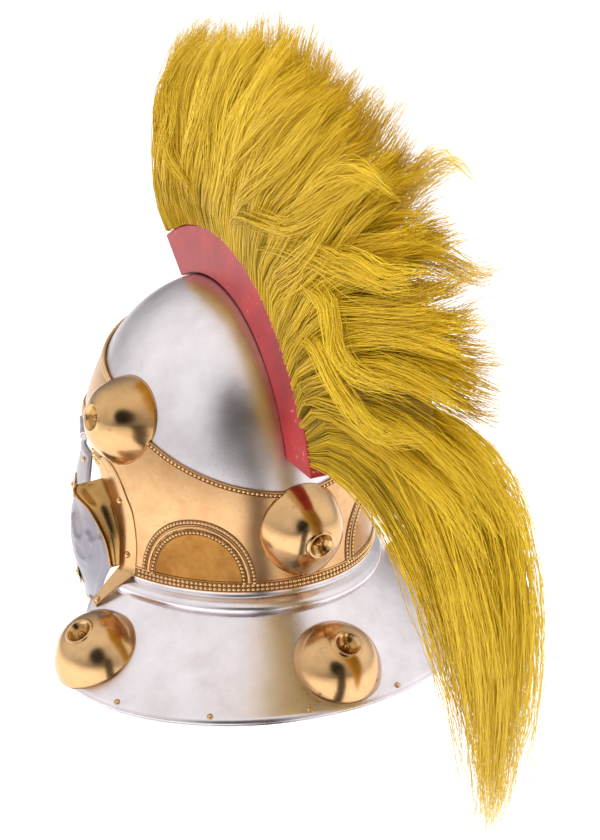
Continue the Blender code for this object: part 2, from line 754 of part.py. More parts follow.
def make_eyes(name, frame, spans, steel, cutters):
    """The eyes of a hinge round its pin, over spans along it, to be joined to their plate."""
    bore = PIN_RADIUS + PIN_CLEARANCE
    ring = [(math.cos(math.radians(36.0 * step)), math.sin(math.radians(36.0 * step))) for step in range(10)]
    for number, (start, end) in enumerate(spans):
        shape = bmesh.new()
        loops = [[shape.verts.new((along, radius * across, radius * up)) for across, up in ring]
                 for along, radius in ((start, bore), (start, bore + KNUCKLE_WALL),
                                       (end, bore + KNUCKLE_WALL), (end, bore))]
        quad_rows(shape, loops + [loops[0]], closed=True)
        eye = finish_mesh(shape, f"{name}_eye_{number + 1}", steel, cutters)
        eye.matrix_world = frame
        hide_cutter(eye, cutters)
        yield eye


def make_block(name, frame, low, high, steel, cutters):
    """A box between two corners in a frame, to be joined to another piece."""
    bpy.ops.mesh.primitive_cube_add(size=1.0)
    block = bpy.context.object
    block.name = name
    size = [top - foot for foot, top in zip(low, high)]
    middle = [0.5 * (top + foot) for foot, top in zip(low, high)]
    block.data.transform(Matrix.Translation(middle) @ Matrix.Diagonal((*size, 1.0)))
    block.data.materials.append(steel)
    block.matrix_world = frame
    hide_cutter(block, cutters)
    return block


def make_leaf(side, sign, frame, steel, collection, cutters):
    """The fixed leaf inside the bowl's wall, with an eye at each end of the pin."""
    half = 1.5 * KNUCKLE_LENGTH + HINGE_GAP
    end = half - KNUCKLE_LENGTH
    shape = bmesh.new()
    inner = -STEEL_WALL - LEAF_CLEARANCE
    foot = HINGE_LEVEL + PIN_RADIUS + PIN_CLEARANCE + 2.0 * KNUCKLE_WALL + SEAT_GAP
    turns = [sign * (CHEEK_TURN + LEAF_HALF_TURN * step) for step in (-1.0, -0.5, 0.0, 0.5, 1.0)]
    rows = [[shape.verts.new(lifted(wall_point, turn, station_at(level), inner)) for turn in turns]
            for level in (LEAF_TOP, 0.5 * (LEAF_TOP + foot), foot)]
    quad_rows(shape, rows)
    leaf = finish_mesh(shape, f"hinge_leaf_{side}", steel, collection)
    add_solidify(leaf, LEAF_WALL)
    for ring in make_eyes(f"leaf_{side}", frame, ((-half, -end), (end, half)), steel, cutters):
        add_boolean(leaf, ring, "UNION")
    bore = PIN_RADIUS + PIN_CLEARANCE
    for number, (start, stop) in enumerate(((-half, -end), (end, half))):
        low = (start + TAB_INSET, -bore - 2.0 * KNUCKLE_WALL, bore + 0.3 * KNUCKLE_WALL)
        high = (stop - TAB_INSET, -bore - 0.2 * KNUCKLE_WALL, foot + TAB_LAP - HINGE_LEVEL)
        block = make_block(f"leaf_tab_{side}_{number + 1}", frame, low, high, steel, cutters)
        add_boolean(leaf, block, "UNION")
    return leaf


def cheek_point(frame, along, down):
    """A point on a cheek piece's outside: metres along from the hinge's middle toward the
    face, and a share of the height from its top to its chin."""
    bow = CHEEK_HALF_WIDTH * between(CHEEK_OUTLINE, 1, down, 4)
    out = bow - along * along / (2.0 * BOWL_HALF_WIDTH)
    return frame @ Vector((along, out, CHEEK_TOP - HINGE_LEVEL - (CHEEK_TOP + CHEEK_FOOT) * down))


def cheek_seat(frame, sign, along, down, lift):
    """A frame on a cheek piece's outside, for what is riveted to it."""
    def surface(across, below):
        return cheek_point(frame, sign * across, below)
    out = facing(surface, sign * along, down)
    if out.x * sign < 0.0:
        out.negate()
    turn = out.to_track_quat("Z", "Y").to_matrix().to_4x4()
    return Matrix.Translation(cheek_point(frame, along, down) + out * lift) @ turn


def make_cheek(side, frame, steel, collection, cutters):
    """A cheek piece: a bowed steel plate that hangs on its hinge, with an embossed wave."""
    shape = bmesh.new()
    rows = []
    for _, down, rear, front, _ in CHEEK_OUTLINE:
        places = [CHEEK_HALF_WIDTH * (rear + (front - rear) * step / 7.0) for step in range(8)]
        rows.append([shape.verts.new(cheek_point(frame, along, down)) for along in places])
    quad_rows(shape, rows)
    cheek = finish_mesh(shape, f"cheek_{side}", steel, collection)
    add_solidify(cheek, CHEEK_WALL)
    eye = 0.5 * KNUCKLE_LENGTH
    for ring in make_eyes(f"cheek_{side}", frame, ((-eye, eye),), steel, cutters):
        add_boolean(cheek, ring, "UNION")
    width = 0.45 * KNUCKLE_LENGTH
    low = (-width, -0.9 * CHEEK_WALL, CHEEK_TOP - HINGE_LEVEL - 2.0 * TAB_LAP)
    high = (width, 0.1 * CHEEK_WALL, -PIN_RADIUS - PIN_CLEARANCE - 0.5 * KNUCKLE_WALL)
    tab = make_block(f"cheek_tab_{side}", frame, low, high, steel, cutters)
    add_boolean(cheek, tab, "UNION")
    wave = [cheek_point(frame, CHEEK_HALF_WIDTH * along, down) for _, along, down in CHEEK_WAVE]
    ridge = make_tube(f"cheek_wave_{side}", wave, CHEEK_RIDGE, steel, cutters)
    hide_cutter(ridge, cutters)
    add_boolean(cheek, ridge, "UNION")
    return cheek


def make_cheek_rivets(side, sign, frame, brass, collection):
    """Two round rosettes with a domed middle, and a small rivet near the chin."""
    radius, height = ROSETTE_RADIUS, ROSETTE_HEIGHT
    profile = [(0.0, height), (0.24 * radius, 0.80 * height), (0.30 * radius, 0.42 * height),
               (radius, 0.22 * height), (radius, 0.0), (0.0, 0.0)]
    for number, down in enumerate((0.285, 0.815)):
        rosette = turned(f"rosette_{side}_{number + 1}", profile, brass, collection, steps=10)
        rosette.matrix_world = cheek_seat(frame, sign, 0.002, down, SEAT_GAP)
    seat = cheek_seat(frame, sign, -0.012, 0.93, SEAT_GAP)
    make_small_rivet(f"chin_rivet_{side}", seat, brass, collection)


def crest_outline():
    """The crest box from the side: (distance back, height) round its inner and outer edges."""
    inner_length = BOWL_HALF_LENGTH + CREST_GAP
    inner_height = BOWL_HEIGHT + CREST_GAP
    steps = 16
    turn = (CREST_REAR - CREST_FRONT) / steps
    angles = [math.radians(CREST_FRONT + turn * step) for step in range(steps + 1)]
    inner = [(inner_length * math.sin(angle), inner_height * math.cos(angle)) for angle in angles]
    outer = [crest_edge(step / steps) for step in range(steps + 1)]
    return inner + list(reversed(outer))


def crest_edge(share, lift=0.0):
    """A point on the crest box's outer edge, from its front end to its rear end."""
    start = CREST_FRONT - CREST_FRONT_SLANT
    end = CREST_REAR + 4.5
    angle = math.radians(start + (end - start) * share)
    length = BOWL_HALF_LENGTH + CREST_DEPTH_BACK + lift
    height = BOWL_HEIGHT + CREST_DEPTH_TOP + lift
    return (length * math.sin(angle), height * math.cos(angle))


def make_crest_box(paint, collection):
    """The painted wooden box that follows the crown from front to back."""
    outline = crest_outline()
    path = bpy.data.curves.new("crest_box", "CURVE")
    path.dimensions = "2D"
    path.fill_mode = "BOTH"
    path.extrude = 0.5 * CREST_WIDTH
    run = path.splines.new("POLY")
    run.points.add(len(outline) - 1)
    for place, (back, up) in zip(run.points, outline):
        place.co = (back, up, 0.0, 1.0)
    run.use_cyclic_u = True
    flat = bpy.data.objects.new("crest_box_outline", path)
    collection.objects.link(flat)
    flat.matrix_world = Matrix(((0.0, 0.0, 1.0), (1.0, 0.0, 0.0), (0.0, 1.0, 0.0))).to_4x4()
    mesh = joined_mesh(flat)
    bpy.data.objects.remove(flat, do_unlink=True)
    return mesh_object("crest_box", mesh, paint, collection)


def guide_curve(share, steps):
    """Points of the hair that leaves the crest at a share of its length, root to tip."""
    read = [between(GUIDES, 1, share, column) for column in (2, 3, 4, 5, 6)]
    length, lean_root, lean_half, lean_tip, drift = read
    inset = HAIR_INSET / (CREST_REAR - CREST_FRONT)
    back, up = crest_edge(inset + (1.0 - 2.0 * inset) * share, CREST_GAP)
    points = [Vector((0.0, back, up))]
    fine = 24
    for step in range(fine):
        along = (step + 0.5) / fine
        first, second = min(2.0 * along, 1.0), max(2.0 * along - 1.0, 0.0)
        lean = math.radians(lean_root + (lean_half - lean_root) * first + (lean_tip - lean_half) * second)
        move = HAIR_LENGTH * length / fine
        aside = -TAIL_DRIFT * drift / fine
        points.append(points[-1] + Vector((aside, math.sin(lean) * move, math.cos(lean) * move)))
    return [points[round(fine * part)] for part in steps]


def make_plume(hair, collection):
    """Horsehair in locks, fused to one body from the crest out to the tips and down the tail."""
    parts = (0.0, 0.167, 0.333, 0.5, 0.667, 0.833, 1.0)
    swell = (0.0, 0.55, 0.86, 1.0, 0.98, 0.74, 0.10)
    fan = [FAN_END * step / 30 for step in range(31)]
    shares = fan + [TAIL_START + (1.0 - TAIL_START) * step / 6 for step in range(7)]
    left, right = [], []
    for number, share in enumerate(shares):
        groove = number % 2
        guide = guide_curve(share, parts)
        shrink = 1.0 - LOCK_SHORTENING * groove
        guide[-1] = guide[-2].lerp(guide[-1], shrink if share < TAIL_START else 1.0)
        thin = 1.0 - LOCK_DEPTH * groove
        narrow = 1.0 if share < TAIL_START else TAIL_SHARE
        fullest = (HAIR_HALF_TIP - HAIR_HALF_ROOT) * thin * narrow
        halves = [HAIR_HALF_ROOT + fullest * bulge for bulge in swell]
        halves[-1] = HAIR_HALF_END
        left.append([point + Vector((half, 0.0, 0.0)) for point, half in zip(guide, halves)])
        right.append([point - Vector((half, 0.0, 0.0)) for point, half in zip(guide, halves)])
    return closed_grid("plume", left, right, hair, collection, smooth=60.0)


def main():
    clear_scene()
    parts = new_collection("roman_cavalry_helmet")
    cutters = new_collection("cutters")
    steel = new_material("satin_steel", (0.56, 0.55, 0.57), 0.32, 1.0)
    brass = new_material("polished_brass", (0.80, 0.53, 0.25), 0.18, 1.0)
    paint = new_material("red_paint", (0.55, 0.03, 0.04), 0.35, 0.0)
    hair = new_material("golden_hair", (0.62, 0.42, 0.05), 0.55, 0.0)
    make_bowl(steel, parts)
    make_rim_strip(steel, parts)
    make_band(brass, parts, cutters)
    make_front_plate(brass, parts)
    forms = {"wall": wall_form(cutters, steel), "neck": neck_form(cutters, steel)}
    for name, kind, *placed in BOSS_SEATS:
        seat = boss_seat(kind, *placed)
        make_boss(name, kind, seat, forms, brass, parts)
        make_boss_rivet(name.replace("boss", "boss_rivet"), kind, seat, brass, parts)
    make_rim_rivets(brass, parts)
    for side, sign in SIDES:
        make_ear_guard(side, sign, brass, parts)
        make_ear_rivets(side, sign, brass, parts)
        frame = hinge_frame(sign)
        make_pin(side, frame, steel, parts)
        make_leaf(side, sign, frame, steel, parts, cutters)
        make_cheek(side, frame, steel, parts, cutters)
        make_cheek_rivets(side, sign, frame, brass, parts)
    make_crest_box(paint, parts)
    make_plume(hair, parts)


main()
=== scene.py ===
import json
import math
import random

import bmesh
import bpy
from mathutils import Matrix, Vector, noise
from mathutils.bvhtree import BVHTree

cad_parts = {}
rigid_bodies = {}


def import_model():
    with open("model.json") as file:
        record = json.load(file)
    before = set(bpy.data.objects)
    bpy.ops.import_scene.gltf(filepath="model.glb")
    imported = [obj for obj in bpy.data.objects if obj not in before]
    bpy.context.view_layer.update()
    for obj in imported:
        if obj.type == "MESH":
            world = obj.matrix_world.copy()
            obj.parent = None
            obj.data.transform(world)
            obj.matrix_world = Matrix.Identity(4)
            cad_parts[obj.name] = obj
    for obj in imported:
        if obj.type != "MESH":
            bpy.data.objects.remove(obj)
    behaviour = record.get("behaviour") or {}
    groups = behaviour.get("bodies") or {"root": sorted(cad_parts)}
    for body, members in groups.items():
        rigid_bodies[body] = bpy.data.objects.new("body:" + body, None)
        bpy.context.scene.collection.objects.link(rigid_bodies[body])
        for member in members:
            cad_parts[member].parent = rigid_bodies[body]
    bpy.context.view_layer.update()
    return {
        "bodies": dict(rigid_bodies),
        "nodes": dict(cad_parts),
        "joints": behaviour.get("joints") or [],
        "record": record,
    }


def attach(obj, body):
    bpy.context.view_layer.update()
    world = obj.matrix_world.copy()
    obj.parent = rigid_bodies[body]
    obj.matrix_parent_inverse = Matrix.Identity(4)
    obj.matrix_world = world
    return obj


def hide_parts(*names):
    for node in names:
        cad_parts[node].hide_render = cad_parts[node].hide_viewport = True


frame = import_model()
print("frame loaded:", len(frame["nodes"]), "nodes")

# Camera, at the photograph's angle: behind the helmet on the wearer's left, a little above
shot = {"place": (0.5417, 1.0502, 0.4558), "target": (0.0, 0.112, 0.070), "lens": 74.47, "sensor": 36.0}


def makeCamera():
    data = bpy.data.cameras.new("camera")
    data.lens = shot["lens"]
    data.sensor_fit = "VERTICAL"
    data.sensor_height = shot["sensor"]
    camera = bpy.data.objects.new("camera", data)
    camera.location = shot["place"]
    aim = Vector(shot["target"]) - camera.location
    camera.rotation_euler = aim.to_track_quat("-Z", "Y").to_euler()
    bpy.context.scene.collection.objects.link(camera)
    bpy.context.scene.camera = camera


makeCamera()


# Python's operators on a socket add Math nodes
class Value:
    def __init__(self, sheet, socket):
        self.sheet, self.socket = sheet, socket

    def run(self, operation, *terms):
        return self.sheet.add("ShaderNodeMath", {"operation": operation}, dict(enumerate(terms)))

    def __add__(self, other):
        return self.run("ADD", self, other)

    def __sub__(self, other):
        return self.run("SUBTRACT", self, other)

    def __rsub__(self, other):
        return self.run("SUBTRACT", other, self)

    def __mul__(self, other):
        return self.run("MULTIPLY", self, other)

    def __pow__(self, other):
        return self.run("POWER", self, other)

    __radd__ = __add__
    __rmul__ = __mul__


# A node tree being filled; add is the one method that makes a node
class Sheet:
    def __init__(self, tree):
        self.tree = tree

    def add(self, kind, settings=None, sockets=None, output=0):
        made = self.tree.nodes.new(kind)
        for name, value in (settings or {}).items():
            if name == "stops":
                self.fillRamp(made.color_ramp, value)
            else:
                setattr(made, name, value)
        for name, value in (sockets or {}).items():
            if isinstance(name, int):
                socket = made.inputs[name]
            else:
                socket = next(item for item in made.inputs if item.name == name and item.enabled)
            if isinstance(value, Value):
                self.tree.links.new(value.socket, socket)
            else:
                socket.default_value = (*value, 1.0) if socket.type == "RGBA" else value
        enabled = [item for item in made.outputs if item.enabled]
        if isinstance(output, str):
            return Value(self, next(item for item in enabled if item.name == output))
        return Value(self, enabled[output]) if enabled else None

    def fillRamp(self, ramp, stops):
        while len(ramp.elements) < len(stops):
            ramp.elements.new(1.0)
        for element, (place, color) in zip(ramp.elements, stops):
            element.position = place
            element.color = (*color, 1.0) if isinstance(color, tuple) else (color, color, color, 1.0)

    def noise(self, place, scale, detail=4.0, rough=0.55, stretch=None):
        if stretch:
            place = self.add("ShaderNodeMapping", None, {"Vector": place, "Scale": stretch})
        return self.add("ShaderNodeTexNoise", None,
                        {"Vector": place, "Scale": scale, "Detail": detail, "Roughness": rough})

    def ramp(self, value, stops):
        return self.add("ShaderNodeValToRGB", {"stops": stops}, {"Fac": value})

    def blend(self, share, first, second, kind="MIX"):
        return self.add("ShaderNodeMix", {"data_type": "RGBA", "blend_type": kind},
                        {"Factor": share, "A": first, "B": second})

    def bump(self, height, strength, distance):
        return self.add("ShaderNodeBump", None,
                        {"Height": height, "Strength": strength, "Distance": distance})


def newFinish(name):
    made = bpy.data.materials.new(name)
    made.use_nodes = True
    made.node_tree.nodes.clear()
    return made, Sheet(made.node_tree)


def closeFinish(sheet, sockets):
    shader = sheet.add("ShaderNodeBsdfPrincipled", None, sockets)
    sheet.add("ShaderNodeOutputMaterial", None, {"Surface": shader})


steelLook = {
    "bright": (0.84, 0.79, 0.82), "dull": (0.66, 0.59, 0.60), "stain": (0.34, 0.27, 0.23),
    "haze": (0.50, 0.40, 0.36), "cloudScale": 9.0, "scratchScale": 40.0, "pitScale": 420.0, "hazeScale": 13.0,
    "roughness": 0.17, "bump": 0.10, "bumpDepth": 0.0006,
}
# A far darker copy of the steel for the cheek pieces: painted shade for plates that hang below the bowl.
cheekShadeLook = dict(steelLook, bright=(0.26, 0.24, 0.275), dull=(0.18, 0.165, 0.19))


def makeSteel(name, look):
    steel, sheet = newFinish(name)
    place = sheet.add("ShaderNodeTexCoord", output="Object")
    clouds = sheet.noise(place, look["cloudScale"], 5.0, 0.6)
    rubbed = sheet.noise(place, look["scratchScale"], 6.0, 0.7)
    scratches = sheet.noise(place, look["scratchScale"], 3.0, 0.6, (2.0, 2.0, 26.0))
    cross = sheet.noise(place, look["scratchScale"], 3.0, 0.6, (22.0, 3.0, 3.0))
    pits = sheet.add("ShaderNodeTexVoronoi", None, {"Vector": place, "Scale": look["pitScale"]}, "Distance")
    pitted = sheet.ramp(clouds, [(0.60, 0.0), (0.72, 1.0)])
    holes = sheet.ramp(pits, [(0.12, 1.0), (0.24, 0.0)]) * pitted
    tone = sheet.ramp(clouds * 0.6 + rubbed * 0.4, [(0.34, look["dull"]), (0.58, look["bright"])])
    haze = sheet.ramp(sheet.noise(place, look["hazeScale"], 6.0, 0.65), [(0.50, 0.0), (0.74, 0.6)])
    tone = sheet.blend(haze, tone, look["haze"])
    color = sheet.blend(holes * 0.8, tone, look["stain"])
    roughness = look["roughness"] + clouds * 0.16 + rubbed * 0.10 + holes * 0.2
    height = scratches * 0.5 + cross * 0.35 + rubbed * 0.4 - holes * 0.5
    closeFinish(sheet, {"Base Color": color, "Metallic": 1.0, "Roughness": roughness,
                        "Normal": sheet.bump(height, look["bump"], look["bumpDepth"])})
    return steel


brassLook = {
    "bright": (0.69, 0.44, 0.22), "warm": (0.57, 0.33, 0.14), "tarnish": (0.30, 0.15, 0.05),
    # worn is the beads' paler brass: partly wear polish, partly a painted highlight.
    "worn": (0.95, 0.68, 0.34), "aged": (0.20, 0.10, 0.035),
    "cloudScale": 14.0, "spotScale": 120.0, "markScale": 60.0, "bump": 0.06, "bumpDepth": 0.0005,
}
sheetLook = dict(brassLook, bright=(0.66, 0.41, 0.20), warm=(0.54, 0.29, 0.13), tarnish=(0.32, 0.15, 0.07),
                 cloudScale=22.0, spotScale=90.0)
deepLook = dict(brassLook, bright=(0.52, 0.30, 0.10), warm=(0.36, 0.19, 0.06))
fieldLook = dict(brassLook, bright=(0.50, 0.24, 0.06), warm=(0.26, 0.11, 0.025))


def makeBrass(name, look, shine):
    brass, sheet = newFinish(name)
    place = sheet.add("ShaderNodeTexCoord", output="Object")
    clouds = sheet.noise(place, look["cloudScale"], 5.0, 0.6)
    spots = sheet.noise(place, look["spotScale"], 4.0, 0.7)
    marks = sheet.noise(place, look["markScale"], 4.0, 0.6, (1.0, 1.0, 14.0))
    tone = sheet.ramp(clouds * 0.7 + spots * 0.3, [(0.36, look["warm"]), (0.60, look["bright"])])
    stained = sheet.ramp(spots, [(0.60, 0.0), (0.78, 0.55)])
    color = sheet.blend(stained, tone, look["tarnish"])
    roughness = shine + clouds * 0.10 + stained * 0.15
    height = marks * 0.5 + spots * 0.5
    closeFinish(sheet, {"Base Color": color, "Metallic": 1.0, "Roughness": roughness,
                        "Normal": sheet.bump(height, look["bump"], look["bumpDepth"])})
    return brass


paintLook = {
    "red": (0.36, 0.009, 0.009), "deep": (0.22, 0.004, 0.006), "worn": (0.72, 0.42, 0.38),
    "cloudScale": 26.0, "grainScale": 50.0, "flakeScale": 190.0, "roughness": 0.36, "coat": 0.30,
}


def makePaint():
    paint, sheet = newFinish("redPaint")
    place = sheet.add("ShaderNodeTexCoord", output="Object")
    clouds = sheet.noise(place, paintLook["cloudScale"], 4.0, 0.55)
    grain = sheet.noise(place, paintLook["grainScale"], 4.0, 0.6, (1.0, 1.0, 8.0))
    flakes = sheet.noise(place, paintLook["flakeScale"], 4.0, 0.75)
    worn = sheet.ramp(flakes * 0.7 + clouds * 0.3, [(0.60, 0.0), (0.64, 1.0)])
    tone = sheet.ramp(clouds, [(0.35, paintLook["deep"]), (0.60, paintLook["red"])])
    color = sheet.blend(worn * 0.55, tone, paintLook["worn"])
    roughness = paintLook["roughness"] + grain * 0.12 + worn * 0.25
    height = grain * 0.6 + flakes * 0.3
    closeFinish(sheet, {"Base Color": color, "Roughness": roughness, "Coat Weight": paintLook["coat"],
                        "Coat Roughness": 0.30, "Normal": sheet.bump(height, 0.12, 0.0006)})
    return paint


hairLook = {
    "shade": (0.12, 0.070, 0.003), "mustard": (0.43, 0.265, 0.007), "gold": (0.68, 0.445, 0.010),
    "straw": (0.78, 0.55, 0.035), "through": 0.06, "cloudScale": 26.0, "roughness": 0.36,
}


def makeHair():
    hair, sheet = newFinish("goldenHair")
    tone = sheet.add("ShaderNodeAttribute", {"attribute_name": "strandTone"}, output="Fac")
    along = sheet.add("ShaderNodeAttribute", {"attribute_name": "along"}, output="Fac")
    place = sheet.add("ShaderNodeTexCoord", output="Object")
    clouds = sheet.noise(place, hairLook["cloudScale"], 3.0, 0.6)
    # Hair is made lighter toward its tips and darker at its roots: painted shade at the roots, painted light
    # at the tips.
    value = tone * 0.62 + clouds * 0.34 + along * 0.26
    color = sheet.ramp(value, [(0.16, hairLook["shade"]), (0.38, hairLook["mustard"]),
                               (0.58, hairLook["gold"]), (0.88, hairLook["straw"])])
    # The hair also glows faintly in its own colour: a painted glow that lifts its shadowed strands.
    closeFinish(sheet, {"Base Color": color, "Roughness": hairLook["roughness"], "Emission Color": color,
                        "Emission Strength": hairLook["through"]})
    return hair


def makeInnerHair():
    inner, sheet = newFinish("innerHair")
    flow = sheet.add("ShaderNodeUVMap", {"uv_map": "flow"})
    place = sheet.add("ShaderNodeTexCoord", output="Object")
    streaks = sheet.noise(flow, 1.0, 4.0, 0.7, (420.0, 5.0, 1.0))
    clouds = sheet.noise(place, 30.0, 3.0, 0.6)
    # The core's ramp holds only the darker hair colours, without straw: painted shade for the hair inside the
    # plume.
    color = sheet.ramp(streaks * 0.75 + clouds * 0.25, [
        (0.34, hairLook["shade"]), (0.52, hairLook["mustard"]), (0.72, hairLook["gold"])])
    closeFinish(sheet, {"Base Color": color, "Roughness": 0.55, "Normal": sheet.bump(streaks, 0.9, 0.0020)})
    return inner


steel = makeSteel("satinSteel", steelLook)
cheekShadedSteel = makeSteel("cheekShadedSteel", cheekShadeLook)
brass = makeBrass("polishedBrass", brassLook, 0.15)
sheetBrass = makeBrass("sheetBrass", sheetLook, 0.22)
# Paler, smoother brass for the beads: partly polish from wear, partly a painted highlight standing in for
# glints.
wornGlintBrass = makeBrass("wornGlintBrass", dict(brassLook, bright=brassLook["worn"], warm=brassLook["bright"]), 0.16)
agedBrass = makeBrass("agedBrass", dict(sheetLook, bright=sheetLook["aged"], warm=sheetLook["tarnish"]), 0.34)
deepBrass = makeBrass("deepBrass", deepLook, 0.17)
fieldBrass = makeBrass("fieldBrass", fieldLook, 0.22)
paint = makePaint()
hair = makeHair()
innerHair = makeInnerHair()
print("finishes made")


# Shared measures of the helmet's wall, in metres and degrees from the back
wall = {
    "halfWidth": 0.100, "halfLength": 0.116, "height": 0.1435, "thickness": 0.0015, "neckDrop": 0.060,
    "underEar": 0.088, "underEarEnd": 0.36, "stepFrom": 0.775, "stepFull": 0.885, "stepSide": 0.010,
    "stepBack": 0.015, "earTurn": 70.0, "brow": 0.040, "earRoof": 0.020, "earSill": 0.0465,
    # share of neckDrop below the widest level, share of the step's reach
    "flares": [(0.0, 0.0), (0.20, 0.04), (0.40, 0.13), (0.60, 0.25), (0.775, 0.37), (0.815, 0.37),
               (0.835, 0.46), (0.855, 0.74), (0.885, 0.95), (0.925, 1.03), (0.965, 1.00), (0.985, 0.93),
               (1.0, 0.90)],
    # turn, level as a share: -1 the ear opening's sill, 0 the widest level, 1 its roof, 2 the brow
    "lowerEdge": [(70.0, -1.0), (71.2, -0.60), (72.5, -0.22), (76.0, 0.10), (80.0, 0.66), (85.0, 0.95),
                  (90.0, 1.05), (94.0, 1.45), (98.0, 1.85), (103.0, 1.98), (108.0, 2.0), (180.0, 2.0)],
}
neck = {
    "rimDrop": 0.1053, "rimHalfWidth": 0.156, "rimHalfLength": 0.1316, "rimCentre": 0.060, "rimTurn": 104.0,
    "corner": 8.0, "cornerFrom": 0.6, "frontTurn": 79.0, "tongueShare": 0.22, "dish": 0.0022,
}


# A table read in straight lines between its rows
def between(rows, value, column=1):
    for low, high in zip(rows, rows[1:]):
        if value <= high[0]:
            break
    share = min(max((value - low[0]) / (high[0] - low[0]), 0.0), 1.0)
    return low[column] + (high[column] - low[column]) * share


# A smooth step from low to high that leaves and arrives with given slopes
def smoothly(low, high, leave, reach, share):
    square, cube = share * share, share ** 3
    return (low * (2 * cube - 3 * square + 1) + leave * (cube - 2 * square + share)
            + high * (3 * square - 2 * cube) + reach * (cube - square))


# A smooth curve through a table's rows, read at a value of its first column
def curved(rows, value, column=1):
    last = len(rows) - 1
    here = max(0, min(last - 1, sum(1 for row in rows[1:-1] if row[0] <= value)))
    low, high = rows[here], rows[here + 1]
    before, after = rows[max(here - 1, 0)], rows[min(here + 2, last)]
    step = high[0] - low[0]
    share = min(max((value - low[0]) / step, 0.0), 1.0)
    leave = (high[column] - before[column]) / (high[0] - before[0]) * step
    reach = (after[column] - low[column]) / (after[0] - low[0]) * step
    return smoothly(low[column], high[column], leave, reach, share)


def wallPoint(turn, level):
    side, back = math.sin(math.radians(turn)), math.cos(math.radians(turn))
    flare = curved(wall["flares"], -level / wall["neckDrop"]) if level < 0.0 else 0.0
    spread = math.sqrt(max(1.0 - (level / wall["height"]) ** 2, 0.0)) if level > 0.0 else 1.0
    halfWidth = (wall["halfWidth"] + wall["stepSide"] * flare) * spread
    halfLength = (wall["halfLength"] + wall["stepBack"] * flare) * spread
    return Vector((halfWidth * side, halfLength * back, level))


def neckPoint(across, share):
    swing = min(share / neck["tongueShare"], 1.0)
    rootTurn = wall["earTurn"] + (neck["frontTurn"] - wall["earTurn"]) * swing
    root = wallPoint(across * rootTurn, -wall["neckDrop"])
    corner = neck["corner"] * (max(0.0, share - neck["cornerFrom"]) / (1.0 - neck["cornerFrom"])) ** 2
    turn = math.radians(across * (neck["rimTurn"] - corner))
    rim = Vector((neck["rimHalfWidth"] * math.sin(turn),
                  neck["rimCentre"] + neck["rimHalfLength"] * math.cos(turn), -neck["rimDrop"]))
    dish = Vector((0.0, 0.0, -neck["dish"] * math.sin(math.pi * share)))
    return root.lerp(rim, share) + dish


# The way a surface faces, away from the head. Levels are in metres, so their step is short.
def facing(surface, across, down):
    acrossStep, downStep = (0.5, -0.0005) if surface is wallPoint else (0.004, 0.01)
    aside = surface(across + acrossStep, down) - surface(across - acrossStep, down)
    below = surface(across, down + downStep) - surface(across, down - downStep)
    return aside.cross(below).normalized()


def lifted(surface, across, down, lift):
    return surface(across, down) + facing(surface, across, down) * lift


def levelOf(share):
    if share <= 0.0:
        return wall["earSill"] * share
    if share <= 1.0:
        return wall["earRoof"] * share
    return wall["earRoof"] + (wall["brow"] - wall["earRoof"]) * (share - 1.0)


def lowerEdge(turn):
    return levelOf(between(wall["lowerEdge"], abs(turn)))


# Moves a level down the wall by a distance measured along the wall
def downWall(level, distance):
    if level <= 0.0:
        return level - distance
    share = level / wall["height"]
    radius = 0.5 * (wall["halfWidth"] + wall["halfLength"])
    lean = share * radius / wall["height"] / math.sqrt(max(1.0 - share * share, 0.01))
    return level - distance / math.sqrt(1.0 + lean * lean)


def spaced(low, high, count):
    return [low + (high - low) * step / count for step in range(count + 1)]


def linkPiece(name, mesh, material):
    made = bpy.data.objects.new(name, mesh)
    if material and not mesh.materials:
        mesh.materials.append(material)
    bpy.context.scene.collection.objects.link(made)
    return made


def shadeSmooth(mesh, angle=40.0):
    mesh.shade_smooth()
    mesh.set_sharp_from_angle(angle=math.radians(angle))


# Faces between neighbouring rows of corners; closed joins each row's ends
def fillGrid(shape, grid, closed=False):
    for upper, lower in zip(grid, grid[1:]):
        count = len(upper)
        for here in range(count if closed else count - 1):
            there = (here + 1) % count
            shape.faces.new((upper[here], lower[here], lower[there], upper[there]))


def capRow(shape, row, place):
    top = shape.verts.new(place)
    for here, vert in enumerate(row):
        shape.faces.new((top, vert, row[(here + 1) % len(row)]))


def addRows(shape, rows):
    return [[shape.verts.new(point) for point in row] for row in rows]


def ringPoint(angle, radius, height):
    return Vector((radius * math.cos(angle), radius * math.sin(angle), height))


def ringAngles(count):
    return [math.tau * step / count for step in range(count)]


# A sheet through rows of points; inside is a point that its front faces away from
def sheetPiece(name, rows, material, thickness, inside=(0.0, 0.02, 0.0), closed=False, cap=None, angle=40.0,
               bevel=0.0):
    shape = bmesh.new()
    grid = addRows(shape, rows)
    fillGrid(shape, grid, closed)
    if cap is not None:
        capRow(shape, grid[0], cap)
    bmesh.ops.recalc_face_normals(shape, faces=shape.faces)
    shape.faces.ensure_lookup_table()
    middle = shape.faces[len(shape.faces) // 2]
    if middle.normal.dot(middle.calc_center_median() - Vector(inside)) < 0.0:
        bmesh.ops.reverse_faces(shape, faces=shape.faces)
    return closeShape(shape, name, material, thickness, angle, bevel)


def closeShape(shape, name, material, thickness=0.0, angle=40.0, bevel=0.0):
    mesh = bpy.data.meshes.new(name)
    shape.to_mesh(mesh)
    shape.free()
    shadeSmooth(mesh, angle)
    piece = linkPiece(name, mesh, material)
    if thickness:
        solid = piece.modifiers.new("wall", "SOLIDIFY")
        solid.thickness = thickness
        solid.offset = -1.0
    if bevel:
        edge = piece.modifiers.new("edge", "BEVEL")
        edge.width = bevel
        edge.segments = 2
        edge.limit_method = "ANGLE"
        edge.angle_limit = math.radians(50.0)  # rounds corners and leaves curves alone
    return piece


